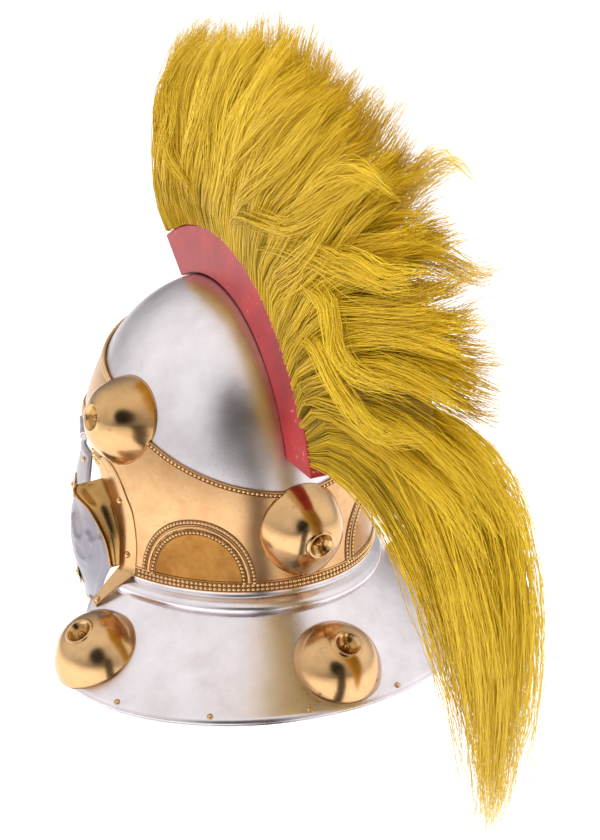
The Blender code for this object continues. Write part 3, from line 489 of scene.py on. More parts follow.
def settle(piece, body, *replaced):
    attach(piece, body)
    if replaced:
        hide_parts(*replaced)
    return piece


# Steel bowl with its rounded step and neck guard in one sheet
def backColumns():
    return spaced(-wall["earTurn"], wall["earTurn"], 70)


# Closer together beside the ear opening, whose edge turns there
def frontColumns():
    left = []
    for low, high, count in ((wall["earTurn"], 76.0, 12), (76.0, 110.0, 24), (110.0, 180.0, 30)):
        left += spaced(low, high, count)[1:]
    return left + [360.0 - turn for turn in reversed(left[:-1])]


def crownLevels(high, low, count):
    return [wall["height"] * math.sin(math.radians(rise)) for rise in spaced(high, low, count)]


# Rows from crown to foot; the front's lower rows are squeezed to end at its edge
def bowlLevels(turn):
    near = turn if turn <= 180.0 else 360.0 - turn
    levels = crownLevels(86.0, 34.0, 18)
    low = crownLevels(34.0, 0.0, 12)[1:]
    low += [-wall["neckDrop"] * depth for depth in spaced(0.0, wall["stepFrom"], 9)[1:]]
    if abs(near) <= wall["earTurn"]:
        return levels + low
    top, foot = levels[-1], lowerEdge(near)
    return levels + [top + (level - top) * (foot - top) / (low[-1] - top) for level in low]


def makeBowl():
    shape = bmesh.new()
    columns = backColumns() + frontColumns()
    grid = addRows(shape, zip(*[[wallPoint(turn, level) for level in bowlLevels(turn)] for turn in columns]))
    fillGrid(shape, grid, True)
    capRow(shape, grid[0], (0.0, 0.0, wall["height"]))
    back = backColumns()
    rows = []
    for depth, _ in wall["flares"][5:]:
        full = min((depth - wall["stepFrom"]) / (wall["stepFull"] - wall["stepFrom"]), 1.0)
        wide = 1.0 + wall["underEar"] * full
        rows.append([wallPoint(turn * wide, -wall["neckDrop"] * depth) for turn in back])
    for share in spaced(0.0, 1.0, 16)[1:]:
        wide = 1.0 + wall["underEar"] * max(0.0, 1.0 - share / wall["underEarEnd"])
        rows.append([neckPoint(turn / wall["earTurn"] * wide, share) for turn in back])
    fillGrid(shape, [grid[-1][:len(back)]] + addRows(shape, rows))
    bmesh.ops.recalc_face_normals(shape, faces=shape.faces)
    if max(shape.faces, key=lambda face: face.calc_center_median().z).normal.z < 0.0:
        bmesh.ops.reverse_faces(shape, faces=shape.faces)
    settle(closeShape(shape, "bowlShell", steel, wall["thickness"], 60.0), "helmet", "bowl")


# Narrow strip under the neck guard's rim: shares of its slope, and how far it reaches round
rim = {
    "shares": (0.86, 0.93, 1.004), "reach": 0.93, "gap": 0.0003, "thickness": 0.0010,
    "rivet": 0.0022, "rivetHeight": 0.55, "rivetSeat": 0.93,
    "rivetTurns": (-69.6, -40.8, -13.7, 13.7, 40.8, 69.6),
}


def makeRimStrip():
    under = -wall["thickness"] - rim["gap"]
    rows = [[lifted(neckPoint, across, share, under) for across in spaced(-rim["reach"], rim["reach"], 90)]
            for share in rim["shares"]]
    settle(sheetPiece("rimStrip", rows, steel, rim["thickness"], (0.0, 0.06, -0.3)), "helmet", "rim_strip")


makeBowl()
makeRimStrip()
print("bowl made")


# Geometry Nodes trees: beads along paths, rivets on points and strands along locks
def newTree(name, inputs):
    tree = bpy.data.node_groups.new(name, "GeometryNodeTree")
    tree.interface.new_socket("Geometry", in_out="INPUT", socket_type="NodeSocketGeometry")
    for label, kind in inputs:
        tree.interface.new_socket(label, in_out="INPUT", socket_type="NodeSocket" + kind)
    tree.interface.new_socket("Geometry", in_out="OUTPUT", socket_type="NodeSocketGeometry")
    sheet = Sheet(tree)
    source = tree.nodes.new("NodeGroupInput")
    given = {item.name: Value(sheet, item) for item in source.outputs if item.name}
    return tree, sheet, given


def closeTree(sheet, geometry, given):
    geometry = sheet.add("GeometryNodeRealizeInstances", None, {"Geometry": geometry})
    geometry = sheet.add("GeometryNodeSetShadeSmooth", None, {"Geometry": geometry})
    geometry = sheet.add("GeometryNodeSetMaterial", None, {"Geometry": geometry, "Material": given["Finish"]})
    sheet.add("NodeGroupOutput", None, {"Geometry": geometry})


def grown(name, mesh, tree, values):
    seed = linkPiece(name + "Path", mesh, None)
    modifier = seed.modifiers.new("grow", "NODES")
    modifier.node_group = tree
    for item in tree.interface.items_tree:
        if item.in_out == "INPUT" and item.name in values:
            modifier[item.identifier] = values[item.name]
    bpy.context.view_layer.update()
    graph = bpy.context.evaluated_depsgraph_get()
    made = bpy.data.meshes.new_from_object(seed.evaluated_get(graph))
    made.name = name
    bpy.data.objects.remove(seed, do_unlink=True)
    return linkPiece(name, made, None)


def beadTree():
    tree, sheet, given = newTree("beadsAlongPath", [
        ("Pitch", "Float"), ("Length", "Float"), ("Width", "Float"), ("Finish", "Material")])
    path = sheet.add("GeometryNodeMeshToCurve", None, {"Mesh": given["Geometry"]})
    places = sheet.add("GeometryNodeResampleCurve", {"mode": "LENGTH"},
                       {"Curve": path, "Length": given["Pitch"]})
    bead = sheet.add("GeometryNodeMeshIcoSphere", None, {"Radius": 1.0, "Subdivisions": 2})
    tangent = sheet.add("GeometryNodeInputTangent")
    turn = sheet.add("FunctionNodeAlignRotationToVector", {"axis": "X"}, {"Vector": tangent})
    size = sheet.add("ShaderNodeCombineXYZ", None,
                     {"X": given["Length"], "Y": given["Width"], "Z": given["Width"]})
    beads = sheet.add("GeometryNodeInstanceOnPoints", None,
                      {"Points": places, "Instance": bead, "Rotation": turn, "Scale": size})
    closeTree(sheet, beads, given)
    return tree


def rivetTree():
    tree, sheet, given = newTree("rivetsOnPoints", [("Height", "Float"), ("Finish", "Material")])
    dome = sheet.add("GeometryNodeMeshUVSphere", None, {"Segments": 14, "Rings": 8, "Radius": 1.0})
    out = sheet.add("GeometryNodeInputNamedAttribute", {"data_type": "FLOAT_VECTOR"}, {"Name": "outward"})
    size = sheet.add("GeometryNodeInputNamedAttribute", {"data_type": "FLOAT"}, {"Name": "size"})
    turn = sheet.add("FunctionNodeAlignRotationToVector", {"axis": "Z"}, {"Vector": out})
    scale = sheet.add("ShaderNodeCombineXYZ", None, {"X": size, "Y": size, "Z": size * given["Height"]})
    rivets = sheet.add("GeometryNodeInstanceOnPoints", None,
                       {"Points": given["Geometry"], "Instance": dome, "Rotation": turn, "Scale": scale})
    closeTree(sheet, rivets, given)
    return tree


def pathMesh(name, paths):
    points = [point for path in paths for point in path]
    edges, start = [], 0
    for path in paths:
        edges += [(start + here, start + here + 1) for here in range(len(path) - 1)]
        start += len(path)
    mesh = bpy.data.meshes.new(name)
    mesh.from_pydata(points, edges, [])
    return mesh


def storeOnPoints(mesh, name, kind, values):
    field = "vector" if kind == "FLOAT_VECTOR" else "value"
    flat = [part for value in values for part in value] if field == "vector" else values
    mesh.attributes.new(name, kind, "POINT").data.foreach_set(field, flat)


def rivetPiece(name, seats, height, material):
    mesh = pathMesh(name, [[place] for place, out, size in seats])
    storeOnPoints(mesh, "outward", "FLOAT_VECTOR", [out for place, out, size in seats])
    storeOnPoints(mesh, "size", "FLOAT", [size for place, out, size in seats])
    return grown(name, mesh, rivets, {"Height": height, "Finish": material})


beads = beadTree()
rivets = rivetTree()


# Brass sheets: a band round the back and a plate over the brow, with raised lines at their edges
band = {
    "lift": 0.0002, "thickness": 0.0010, "topBack": 0.0215, "topRise": 0.033, "riseTurn": 64.0,
    "risePower": 1.8, "endTurn": 86.0, "foot": 0.0462, "platePeak": 0.114,
    # distance from the edge, height: an outer line, a hollow for the beads and an inner line
    "topEdge": [(0.0, 0.0002), (0.0003, 0.0009), (0.0009, 0.0009), (0.0012, 0.0003), (0.0036, 0.0003),
                (0.0039, 0.0009), (0.0045, 0.0009), (0.0049, 0.0)],
    "footEdge": [(0.0, 0.0002), (0.0003, 0.0007), (0.0007, 0.0007), (0.0010, 0.0002), (0.0066, 0.0002),
                 (0.0069, 0.0008), (0.0075, 0.0008), (0.0079, 0.0)],
    "beadLift": 0.0003, "backTurn": 85.5, "footTurn": 63.5, "browTurn": 87.0,
}
# pitch, length and width of round beads and of the longer beads of a rope
roundBeads = (0.0031, 0.00122, 0.00105)
ropeBeads = (0.0032, 0.00150, 0.00125)


def bandTop(turn):
    turn = abs(turn) if abs(turn) <= 180.0 else 360.0 - turn
    rise = (min(turn, band["endTurn"]) / band["riseTurn"]) ** band["risePower"]
    level = band["topBack"] + band["topRise"] * rise
    return level + (band["platePeak"] - level) * max(turn - band["endTurn"], 0.0) / (180.0 - band["endTurn"])


def bandFoot(turn):
    turn = abs(turn) if abs(turn) <= 180.0 else 360.0 - turn
    return -band["foot"] if turn <= wall["earTurn"] else lowerEdge(turn) + 0.0008


def sheetColumn(turn, fieldRows):
    top, foot = bandTop(turn), bandFoot(turn)
    base = band["lift"] + band["thickness"]
    places = [(downWall(top, down), base + height) for down, height in band["topEdge"]]
    last = [(foot + up, base + height) for up, height in reversed(band["footEdge"])]
    places += [(level, base) for level in spaced(places[-1][0], last[0][0], fieldRows)[1:-1]]
    return [lifted(wallPoint, turn, level, lift) for level, lift in places + last]


# The fields inside the arches are darker
def deepenFields(piece):
    piece.data.materials.append(fieldBrass)
    for face in piece.data.polygons:
        turn = math.degrees(math.atan2(face.center.x / wall["halfWidth"], face.center.y / wall["halfLength"]))
        aside = (abs(turn) - arch["turn"]) / (arch["halfTurn"] - arch["fieldTurn"])
        rise = (face.center.z + band["foot"] - arch["stand"]) / (arch["height"] - arch["fieldInset"])
        if rise > 0.0 and aside * aside + rise * rise < 1.0:
            face.material_index = 2


# The hollows that the beads lie in are left unpolished
def ageChannels(piece, rowCount):
    across = len(piece.data.polygons) // (rowCount - 1)
    piece.data.materials.append(agedBrass)
    channels = (3, rowCount - 2 - 3)
    for number, face in enumerate(piece.data.polygons):
        if number // across in channels:
            face.material_index = 1


def wallPath(turns, levels, lift):
    return [lifted(wallPoint, turn, level, lift) for turn, level in zip(turns, levels)]


def makeBand():
    front = band["endTurn"] + 0.4
    for name, turns, fieldRows, node in (
            ("brassBand", spaced(-band["endTurn"], band["endTurn"], 120), 14, "band"),
            ("brassBrowPlate", spaced(front, 360.0 - front, 130), 12, "front_plate")):
        rows = list(zip(*[sheetColumn(turn, fieldRows) for turn in turns]))
        piece = sheetPiece(name, rows, sheetBrass, band["thickness"], angle=30.0)
        ageChannels(piece, len(rows))
        if node == "band":
            deepenFields(piece)
        settle(piece, "helmet", node)


def beadPiece(name, paths, kind):
    values = dict(zip(("Pitch", "Length", "Width"), kind), Finish=wornGlintBrass)
    settle(grown(name, pathMesh(name, paths), beads, values), "helmet")


# Beads along the sheets' edges: distances down from the top edge and up from the foot
def makeBorders():
    lift = band["lift"] + band["thickness"] + band["beadLift"]
    for name, turns, fromTop, fromFoot, kind in (
            ("bandTopBeads", spaced(-band["backTurn"], band["backTurn"], 170), (0.0024,), (), roundBeads),
            ("bandFootBeads", spaced(-band["footTurn"], band["footTurn"], 130), (),
             (0.0024, 0.0052), ropeBeads),
            ("browBeads", spaced(band["browTurn"], 360.0 - band["browTurn"], 180), (0.0014, 0.0034),
             (0.0024, 0.0052), ropeBeads)):
        paths = [wallPath(turns, [downWall(bandTop(turn), down) for turn in turns], lift) for down in fromTop]
        paths += [wallPath(turns, [bandFoot(turn) + up for turn in turns], lift) for up in fromFoot]
        beadPiece(name, paths, kind)


# Two arches on the band: a plain ridge between two rows of beads
arch = {
    "turn": 41.0, "halfTurn": 20.8, "height": 0.0485, "degreesPerMetre": 500.0, "beadRows": (0.0004, 0.0078),
    "lines": (0.0041,), "lineRadius": 0.0011, "grooves": (-0.0009, 0.0021, 0.0061, 0.0091),
    "grooveRadius": 0.00055, "stand": 0.0068, "fieldInset": 0.0120, "fieldTurn": 2.6, "beadLift": 0.0004,
    "beads": (0.0026, 0.0012, 0.0012),
}


def archPath(middle, inset, lift):
    halfTurn = arch["halfTurn"] - inset * arch["degreesPerMetre"]
    height = arch["height"] - inset
    foot = -band["foot"] + arch["stand"]
    return [lifted(wallPoint, middle + halfTurn * math.cos(angle),
                   foot + (height - arch["stand"]) * math.sin(angle), lift)
            for angle in spaced(0.0, math.pi, 60)]


def tubePiece(name, paths, radii, material, sides=3):
    path = bpy.data.curves.new(name, "CURVE")
    path.dimensions = "3D"
    path.bevel_depth = 1.0
    path.bevel_resolution = sides
    path.use_fill_caps = True
    for points, radius in zip(paths, radii):
        run = path.splines.new("POLY")
        run.points.add(len(points) - 1)
        for place, point in zip(run.points, points):
            place.co = (*point, 1.0)
            place.radius = radius
    item = bpy.data.objects.new(name, path)
    bpy.context.scene.collection.objects.link(item)
    bpy.context.view_layer.update()
    mesh = bpy.data.meshes.new_from_object(item.evaluated_get(bpy.context.evaluated_depsgraph_get()))
    bpy.data.objects.remove(item, do_unlink=True)
    shape = bmesh.new()
    shape.from_mesh(mesh)
    bmesh.ops.remove_doubles(shape, verts=shape.verts, dist=0.00001)
    bmesh.ops.recalc_face_normals(shape, faces=shape.faces)
    return closeShape(shape, name, material)


def makeArches():
    base = band["lift"] + band["thickness"]
    middles = (arch["turn"], -arch["turn"])
    for name, insets, radius, finish in (("archRidges", arch["lines"], arch["lineRadius"], brass),
                                         ("archGrooves", arch["grooves"], arch["grooveRadius"], agedBrass)):
        paths = [archPath(middle, inset, base) for middle in middles for inset in insets]
        settle(tubePiece(name, paths, [radius] * len(paths), finish), "helmet")
    base += arch["beadLift"]
    paths = [archPath(middle, inset, base) for middle in middles for inset in arch["beadRows"]]
    beadPiece("archBeads", paths, arch["beads"])


makeBand()
makeBorders()
makeArches()
print("brass sheets made")

# Six hollow bosses: base place, the way it points as turn and rise, share of radius and height
boss = {
    "radius": 0.0312, "height": 0.0236, "thickness": 0.0010, "steps": 72, "sink": 0.0004, "skirt": 0.011,
    "above": 0.013, "sagFrom": 0.5, "wallLift": 0.0013, "neckLift": 0.0004, "rivet": 0.0026,
    "rivetSink": 0.0006, "cup": 0.235,
    "profile": [(0.0, 0.770), (0.06, 0.775), (0.12, 0.800), (0.18, 0.850), (0.225, 0.905), (0.250, 0.950),
                (0.268, 0.978), (0.287, 0.992), (0.306, 0.985), (0.322, 0.962), (0.338, 0.942), (0.37, 0.928),
                (0.43, 0.898), (0.50, 0.855), (0.60, 0.775), (0.70, 0.665), (0.80, 0.520), (0.88, 0.370),
                (0.94, 0.215), (0.98, 0.085), (1.0, 0.0)],
    # name, surface, across, down, degrees turned and raised from the way the seat faces
    "seats": [("back", wallPoint, 0.0, -0.0065, 0.0, -11.0),
              ("temple_left", wallPoint, 77.0, 0.0590, 7.7, -3.6),
              ("temple_right", wallPoint, -77.0, 0.0590, -7.7, -3.6),
              ("neck_middle", neckPoint, 0.0, 0.54, 0.0, 3.5),
              ("neck_left", neckPoint, 0.83, 0.58, -3.9, 3.2),
              ("neck_right", neckPoint, -0.83, 0.58, 3.9, 3.2)],
}


def bossSeat(surface, across, down, turn, rise):
    out = facing(surface, across, down)
    lift = boss["wallLift"] if surface is wallPoint else boss["neckLift"]
    turn = math.atan2(out.x, out.y) + math.radians(turn)
    rise = math.asin(out.z) + math.radians(rise)
    points = Vector((math.sin(turn) * math.cos(rise), math.cos(turn) * math.cos(rise), math.sin(rise)))
    return seatAt(surface(across, down) + out * lift, points)


def seatAt(place, out):
    return Matrix.Translation(place) @ out.to_track_quat("Z", "Y").to_matrix().to_4x4()


# What a boss stands on
def groundTree():
    graph = bpy.context.evaluated_depsgraph_get()
    shape = bmesh.new()
    for name in ("bowlShell", "brassBand", "brassBrowPlate"):
        mesh = bpy.data.meshes.new_from_object(bpy.data.objects[name].evaluated_get(graph))
        shape.from_mesh(mesh)
        bpy.data.meshes.remove(mesh)
    return BVHTree.FromBMesh(shape)


def makeBosses():
    bpy.context.view_layer.update()
    ground = groundTree()
    domes = []
    ring = ringAngles(boss["steps"])
    for name, surface, across, down, turn, rise in boss["seats"]:
        seat = bossSeat(surface, across, down, turn, rise)
        inward = -(seat.to_3x3() @ Vector((0.0, 0.0, 1.0)))
        drops = []
        for angle in ring:
            start = seat @ ringPoint(angle, boss["radius"], boss["above"])
            hit = ground.ray_cast(start, inward, boss["skirt"] + boss["above"])[0]
            drops.append((hit - start).length - boss["above"] + boss["sink"] if hit else boss["sink"])
        rows = []
        for share, rise in boss["profile"][1:]:
            radius, height = boss["radius"] * share, boss["height"] * rise
            sag = max(0.0, (share - boss["sagFrom"]) / (1.0 - boss["sagFrom"])) ** 2
            rows.append([seat @ ringPoint(angle, radius, height - drop * sag)
                         for angle, drop in zip(ring, drops)])
        cap = seat @ Vector((0.0, 0.0, boss["height"] * boss["profile"][0][1]))
        inside = seat @ Vector((0.0, 0.0, -0.02))
        piece = sheetPiece("boss" + name.title().replace("_", ""), rows, brass, boss["thickness"], inside,
                           closed=True, cap=cap, angle=70.0)
        piece.data.materials.append(deepBrass)
        for face in piece.data.polygons:
            face.material_index = int((face.center - cap).length < boss["radius"] * boss["cup"])
        settle(piece, "helmet", "boss_" + name, "boss_rivet_" + name)
        domes.append((cap - inward * boss["rivetSink"], -inward, boss["rivet"]))
    settle(rivetPiece("bossRivets", domes, 1.0, deepBrass), "helmet")


makeBosses()
print("bosses made")

# Ear guards: rear edge's turn and level, joint's turn and level, the flap's reach
ear = {
    "thickness": 0.0012, "lift": 0.0019, "overStep": 0.0016, "reach": 0.0215, "lip": 0.0034, "rounding": 0.17,
    "plate": [(0.0, 84.0, 1.50, 88.0, 1.26, 0.0), (1.0, 78.0, 1.34, 86.0, 0.98, 0.0),
              (2.0, 73.4, 0.95, 84.6, 0.70, 0.88), (3.0, 69.6, 0.40, 79.2, 0.12, 0.72),
              (4.0, 66.6, -0.12, 75.4, -0.22, 0.54), (5.0, 65.2, -0.52, 73.4, -0.52, 0.37),
              (6.0, 65.4, -0.94, 73.0, -0.92, 0.20)],
    "out": (0.93, -0.30, -0.20), "fold": (-0.12, -0.90, -0.42), "lipTurn": (0.55, -0.85),
    "flapFrom": 2.0, "flapSteps": (0.0, 0.12, 0.3, 0.5, 0.7, 0.88, 1.0), "flapBend": 0.11,
    "tongueBow": 0.0009, "bevel": 0.0003, "rivetHeight": 0.6, "rivet": 0.0025,
    "rivets": [(wallPoint, 73.6, 0.22), (wallPoint, 69.3, -0.70)],
    "tongue": [(0.972, 0.235), (1.004, 0.215)],
}


def earLines(sign):
    lines, flaps = [], []
    out, fold = [Vector((sign * ear[key][0], *ear[key][1:])).normalized() for key in ("out", "fold")]
    lip = (out * ear["lipTurn"][0] + fold * ear["lipTurn"][1]).normalized()
    for place in spaced(0.0, 6.0, 30):
        read = [curved(ear["plate"], place, column) for column in range(1, 6)]
        turn, level, lastTurn, lastLevel, wide = read
        row = [lifted(wallPoint, sign * (turn + (lastTurn - turn) * share),
                      levelOf(level + (lastLevel - level) * share), ear["lift"])
               for share in spaced(0.0, 1.0, 5)]
        lines.append(row)
        if place >= ear["flapFrom"]:
            rounded = ear["rounding"] * max(0.0, 1.0 - 2.0 * (place - ear["flapFrom"])) ** 2
            reach = ear["reach"] * wide * (1.0 - rounded)
            bends = [ear["flapBend"] * math.sin(math.pi * min(share * 1.1, 1.0))
                     for share in ear["flapSteps"]]
            strip = [row[-1] + out * reach * share + fold * reach * bend
                     for share, bend in zip(ear["flapSteps"], bends)]
            flaps.append(strip + [strip[-1] + lip * ear["lip"] * part for part in (0.5, 1.0)])
    foot = lines[-1]
    tips = [lifted(neckPoint, sign * across, share, ear["overStep"]) for across, share in ear["tongue"]]
    for along in spaced(0.0, 1.0, 14)[1:]:
        rise = Vector((sign * ear["tongueBow"], 0.0, 0.0)) * math.sin(math.pi * along)
        rear, front = foot[0].lerp(tips[0], along) + rise, foot[-1].lerp(tips[1], along) + rise
        lines.append([rear.lerp(front, share) for share in spaced(0.0, 1.0, 5)])
    return lines, flaps


def makeEarGuard(side, sign):
    lines, flaps = earLines(sign)
    plate = sheetPiece("earPlate" + side, lines, brass, ear["thickness"], angle=35.0, bevel=ear["bevel"])
    flap = sheetPiece("earFlap" + side, flaps, deepBrass, ear["thickness"], (0.0, -0.05, -0.03), angle=35.0,
                      bevel=ear["bevel"])
    settle(plate, "helmet", "ear_guard_" + side.lower())
    settle(flap, "helmet")
    seats = [(surface, sign * turn, levelOf(level), ear["lift"]) for surface, turn, level in ear["rivets"]]
    heads = [(lifted(*seat[:3], seat[3] + 0.0003), facing(*seat[:3]), ear["rivet"]) for seat in seats]
    tip, before = lines[-3], lines[-5]
    out = (tip[-1] - tip[0]).cross(tip[2] - before[2]).normalized()
    out = out if out.z > 0.0 else -out
    return heads + [(tip[2] + out * 0.0004, out, ear["rivet"] * 0.85)]


def makeEarGuards():
    heads = makeEarGuard("Left", 1) + makeEarGuard("Right", -1)
    names = [f"ear_rivet_{side}_{number}" for side in ("left", "right") for number in (1, 2, 3)]
    settle(rivetPiece("earRivets", heads, ear["rivetHeight"], brass), "helmet", *names)


def makeRimRivets():
    heads = []
    for turn in rim["rivetTurns"]:
        across = turn / neck["rimTurn"]
        heads.append((lifted(neckPoint, across, rim["rivetSeat"], 0.0002),
                      facing(neckPoint, across, rim["rivetSeat"]), rim["rivet"]))
    names = [f"rim_rivet_{number}" for number in range(1, 7)]
    settle(rivetPiece("rimRivets", heads, rim["rivetHeight"], brass), "helmet", *names)


makeEarGuards()
makeRimRivets()
print("ear guards made")

# Cheek pieces hang on their hinges; along is measured from the hinge's middle toward the face
cheek = {
    "turn": 116.0, "top": 0.0225, "foot": 0.108, "halfWidth": 0.040, "thickness": 0.0013,
    "hingeLevel": 0.0305, "bowlRadius": 0.100,
    # share of the height, rear and front edge and bow as shares of the half width
    "outline": [(0.00, -0.80, 0.62, 0.00), (0.10, -0.92, 0.74, 0.09), (0.26, -1.02, 0.50, 0.19),
                (0.42, -1.30, 0.84, 0.25), (0.56, -1.46, 0.86, 0.26), (0.70, -1.20, 0.58, 0.24),
                (0.84, -0.84, 0.96, 0.19), (1.00, -0.30, 0.98, 0.10)],
    # raised lines: number of the point, share of the half width, share of the height
    "wave": [(0.0, -1.22, 0.455), (1.0, -1.04, 0.500), (2.0, -0.88, 0.462), (3.0, -0.68, 0.545),
             (4.0, -0.46, 0.500), (5.0, -0.30, 0.420)],
    "hook": [(0.0, -0.98, 0.60), (1.0, -0.80, 0.64), (2.0, -0.62, 0.62), (3.0, -0.56, 0.55),
             (4.0, -0.66, 0.52)],
    "curl": 0.0085, "border": 0.0011, "swell": 0.0030, "ridgeHeight": 0.0016, "ridgeWidth": 0.0019,
    "rosette": 0.009, "rosetteHeight": 0.0042, "rosetteAlong": 0.002, "rosetteDowns": (0.285, 0.815),
    "petals": 8, "petalDepth": 0.06, "rosetteSteps": 48,
    "rosetteProfile": [(1.0, 0.0), (1.0, 0.16), (0.93, 0.24), (0.70, 0.26), (0.62, 0.34), (0.50, 0.36),
                       (0.42, 0.26), (0.30, 0.26), (0.0, 0.26)],
    # along, down, radius: the chin rivet and the hinge tab's
    "rivets": [(-0.012, 0.93, 0.0023), (-0.020, 0.07, 0.0020)],
    "pinRadius": 0.0014, "clearance": 0.0003, "knuckle": 0.0014, "knuckleLength": 0.012,
}


def hingeFrame(sign):
    turn, level = sign * cheek["turn"], cheek["hingeLevel"]
    place = lifted(wallPoint, turn, level, -0.5 * wall["thickness"])
    ahead = wallPoint(turn + sign, level) - wallPoint(turn - sign, level)
    ahead.z = 0.0
    ahead.normalize()
    out = Vector((ahead.y, -ahead.x, 0.0))
    if out.x * sign < 0.0:
        out.negate()
    axes = Matrix((ahead, out, (0.0, 0.0, 1.0))).transposed().to_4x4()
    return Matrix.Translation(place) @ axes


def cheekPoint(frame, along, down, lift=0.0):
    bow = cheek["halfWidth"] * curved(cheek["outline"], down, 3)
    out = bow - along * along / (2.0 * cheek["bowlRadius"]) + lift
    level = cheek["top"] - cheek["hingeLevel"] - (cheek["top"] + cheek["foot"]) * down
    return frame @ Vector((along, out, level))


def cheekEdges(down):
    return [cheek["halfWidth"] * curved(cheek["outline"], down, column) for column in (1, 2)]


def ridgeHeight(along, down):
    tall = cheek["top"] + cheek["foot"]
    nearest = min(math.hypot(along - aside, (down - below) * tall) for aside, below in cheekRidges)
    return cheek["ridgeHeight"] * math.exp(-(nearest / cheek["ridgeWidth"]) ** 2)


def cheekRelief(along, share, down):
    edge = min(share, 1.0 - share) * 1.9
    edge = min(edge, (1.0 - down) * 2.6, down * 2.6)
    border = cheek["border"] * math.exp(-((edge - 0.085) / 0.035) ** 2)
    swell = cheek["swell"] * max(0.0, 1.0 - ((share - 0.55) / 0.30) ** 2 - ((down - 0.55) / 0.22) ** 2)
    curl = cheek["curl"] * (1.0 - share) ** 3.4 * min(max((down - 0.14) / 0.24, 0.0), 1.0) ** 1.5
    return border + swell - curl + ridgeHeight(along, down)


# Places of the raised lines, along the plate in metres and as a share of its height
def ridgePlaces():
    found = []
    for key in ("wave", "hook"):
        for place in spaced(0.0, cheek[key][-1][0], 40):
            down = curved(cheek[key], place, 2)
            rear, front = cheekEdges(down)
            share = (cheek["halfWidth"] * curved(cheek[key], place, 1) - rear) / (front - rear)
            found.append((rear + (front - rear) * min(max(share, 0.03), 0.97), down))
    return found


cheekRidges = ridgePlaces()


def makeCheek(side, sign):
    frame = hingeFrame(sign)
    body = "cheek_" + side.lower()
    rows = []
    for down in spaced(0.0, 1.0, 84):
        rear, front = cheekEdges(down)
        row = []
        for share in spaced(0.0, 1.0, 48):
            along = rear + (front - rear) * share
            row.append(cheekPoint(frame, along, down, cheekRelief(along, share, down)))
        rows.append(row)
    inside = (0.0, -0.03, 0.0)
    plate = sheetPiece("cheekPlate" + side, rows, cheekShadedSteel, cheek["thickness"], inside, angle=60.0)
    settle(plate, body, body)
    half = 0.5 * cheek["knuckleLength"]
    outer = cheek["pinRadius"] + cheek["clearance"] + cheek["knuckle"]
    rows = []
    for along, radius in ((-half, outer - cheek["knuckle"]), (-half, outer - 0.0003), (-half + 0.0003, outer),
                          (half - 0.0003, outer), (half, outer - 0.0003), (half, outer - cheek["knuckle"]),
                          (-half, outer - cheek["knuckle"])):
        rows.append([frame @ Vector((along, radius * math.cos(angle), radius * math.sin(angle)))
                     for angle in ringAngles(24)])
    settle(sheetPiece("hingeEye" + side, rows, steel, 0.0, frame.translation, closed=True), body)
    tab = [[frame @ Vector((along, out, level)) for along in (-half * 0.9, half * 0.9)]
           for out, level in ((0.0006, -outer + 0.0010), (0.0004, -0.008), (0.0006, -0.0125))]
    settle(sheetPiece("hingeTab" + side, tab, steel, 0.0016, inside), body)
    makeRosettes(side, sign, frame, body)


def cheekSeat(frame, along, down, lift):
    rear, front = cheekEdges(down)
    return cheekPoint(frame, along, down, lift + cheekRelief(along, (along - rear) / (front - rear), down))


def cheekFacing(frame, sign, along, down):
    aside = cheekPoint(frame, along + 0.001, down) - cheekPoint(frame, along - 0.001, down)
    below = cheekPoint(frame, along, down + 0.01) - cheekPoint(frame, along, down - 0.01)
    out = aside.cross(below).normalized()
    return out if out.x * sign > 0.0 else -out


def rosettePoint(seat, angle, radius, height):
    petal = 1.0 + cheek["petalDepth"] * math.cos(cheek["petals"] * angle) * min(1.0, radius * 1.2)
    return seat @ ringPoint(angle, cheek["rosette"] * radius * petal, cheek["rosetteHeight"] * height)


def makeRosettes(side, sign, frame, body):
    shape = bmesh.new()
    heads = []
    ring = ringAngles(cheek["rosetteSteps"])
    top = cheek["rosetteHeight"] * cheek["rosetteProfile"][-1][1]
    for down in cheek["rosetteDowns"]:
        out = cheekFacing(frame, sign, cheek["rosetteAlong"], down)
        seat = seatAt(cheekSeat(frame, cheek["rosetteAlong"], down, 0.0), out)
        rows = [[rosettePoint(seat, angle, *spot) for angle in ring] for spot in cheek["rosetteProfile"]]
        grid = addRows(shape, rows)
        fillGrid(shape, grid, True)
        shape.faces.new(grid[0])
        heads.append((seat @ Vector((0.0, 0.0, top)), out, cheek["rosette"] * 0.30))
    bmesh.ops.remove_doubles(shape, verts=shape.verts, dist=0.00001)
    bmesh.ops.recalc_face_normals(shape, faces=shape.faces)
    low = side.lower()
    settle(closeShape(shape, "rosettes" + side, brass), body, f"rosette_{low}_1", f"rosette_{low}_2")
    for along, down, radius in cheek["rivets"]:
        heads.append((cheekSeat(frame, along, down, 0.0), cheekFacing(frame, sign, along, down), radius))
    settle(rivetPiece("cheekRivets" + side, heads, 0.8, brass), body, "chin_rivet_" + low)


makeCheek("Left", 1)
makeCheek("Right", -1)
for name in ("hinge_pin_left", "hinge_pin_right", "hinge_leaf_left", "hinge_leaf_right"):
    for holder in frame["nodes"][name].material_slots:
        holder.material = steel
print("cheek pieces made")

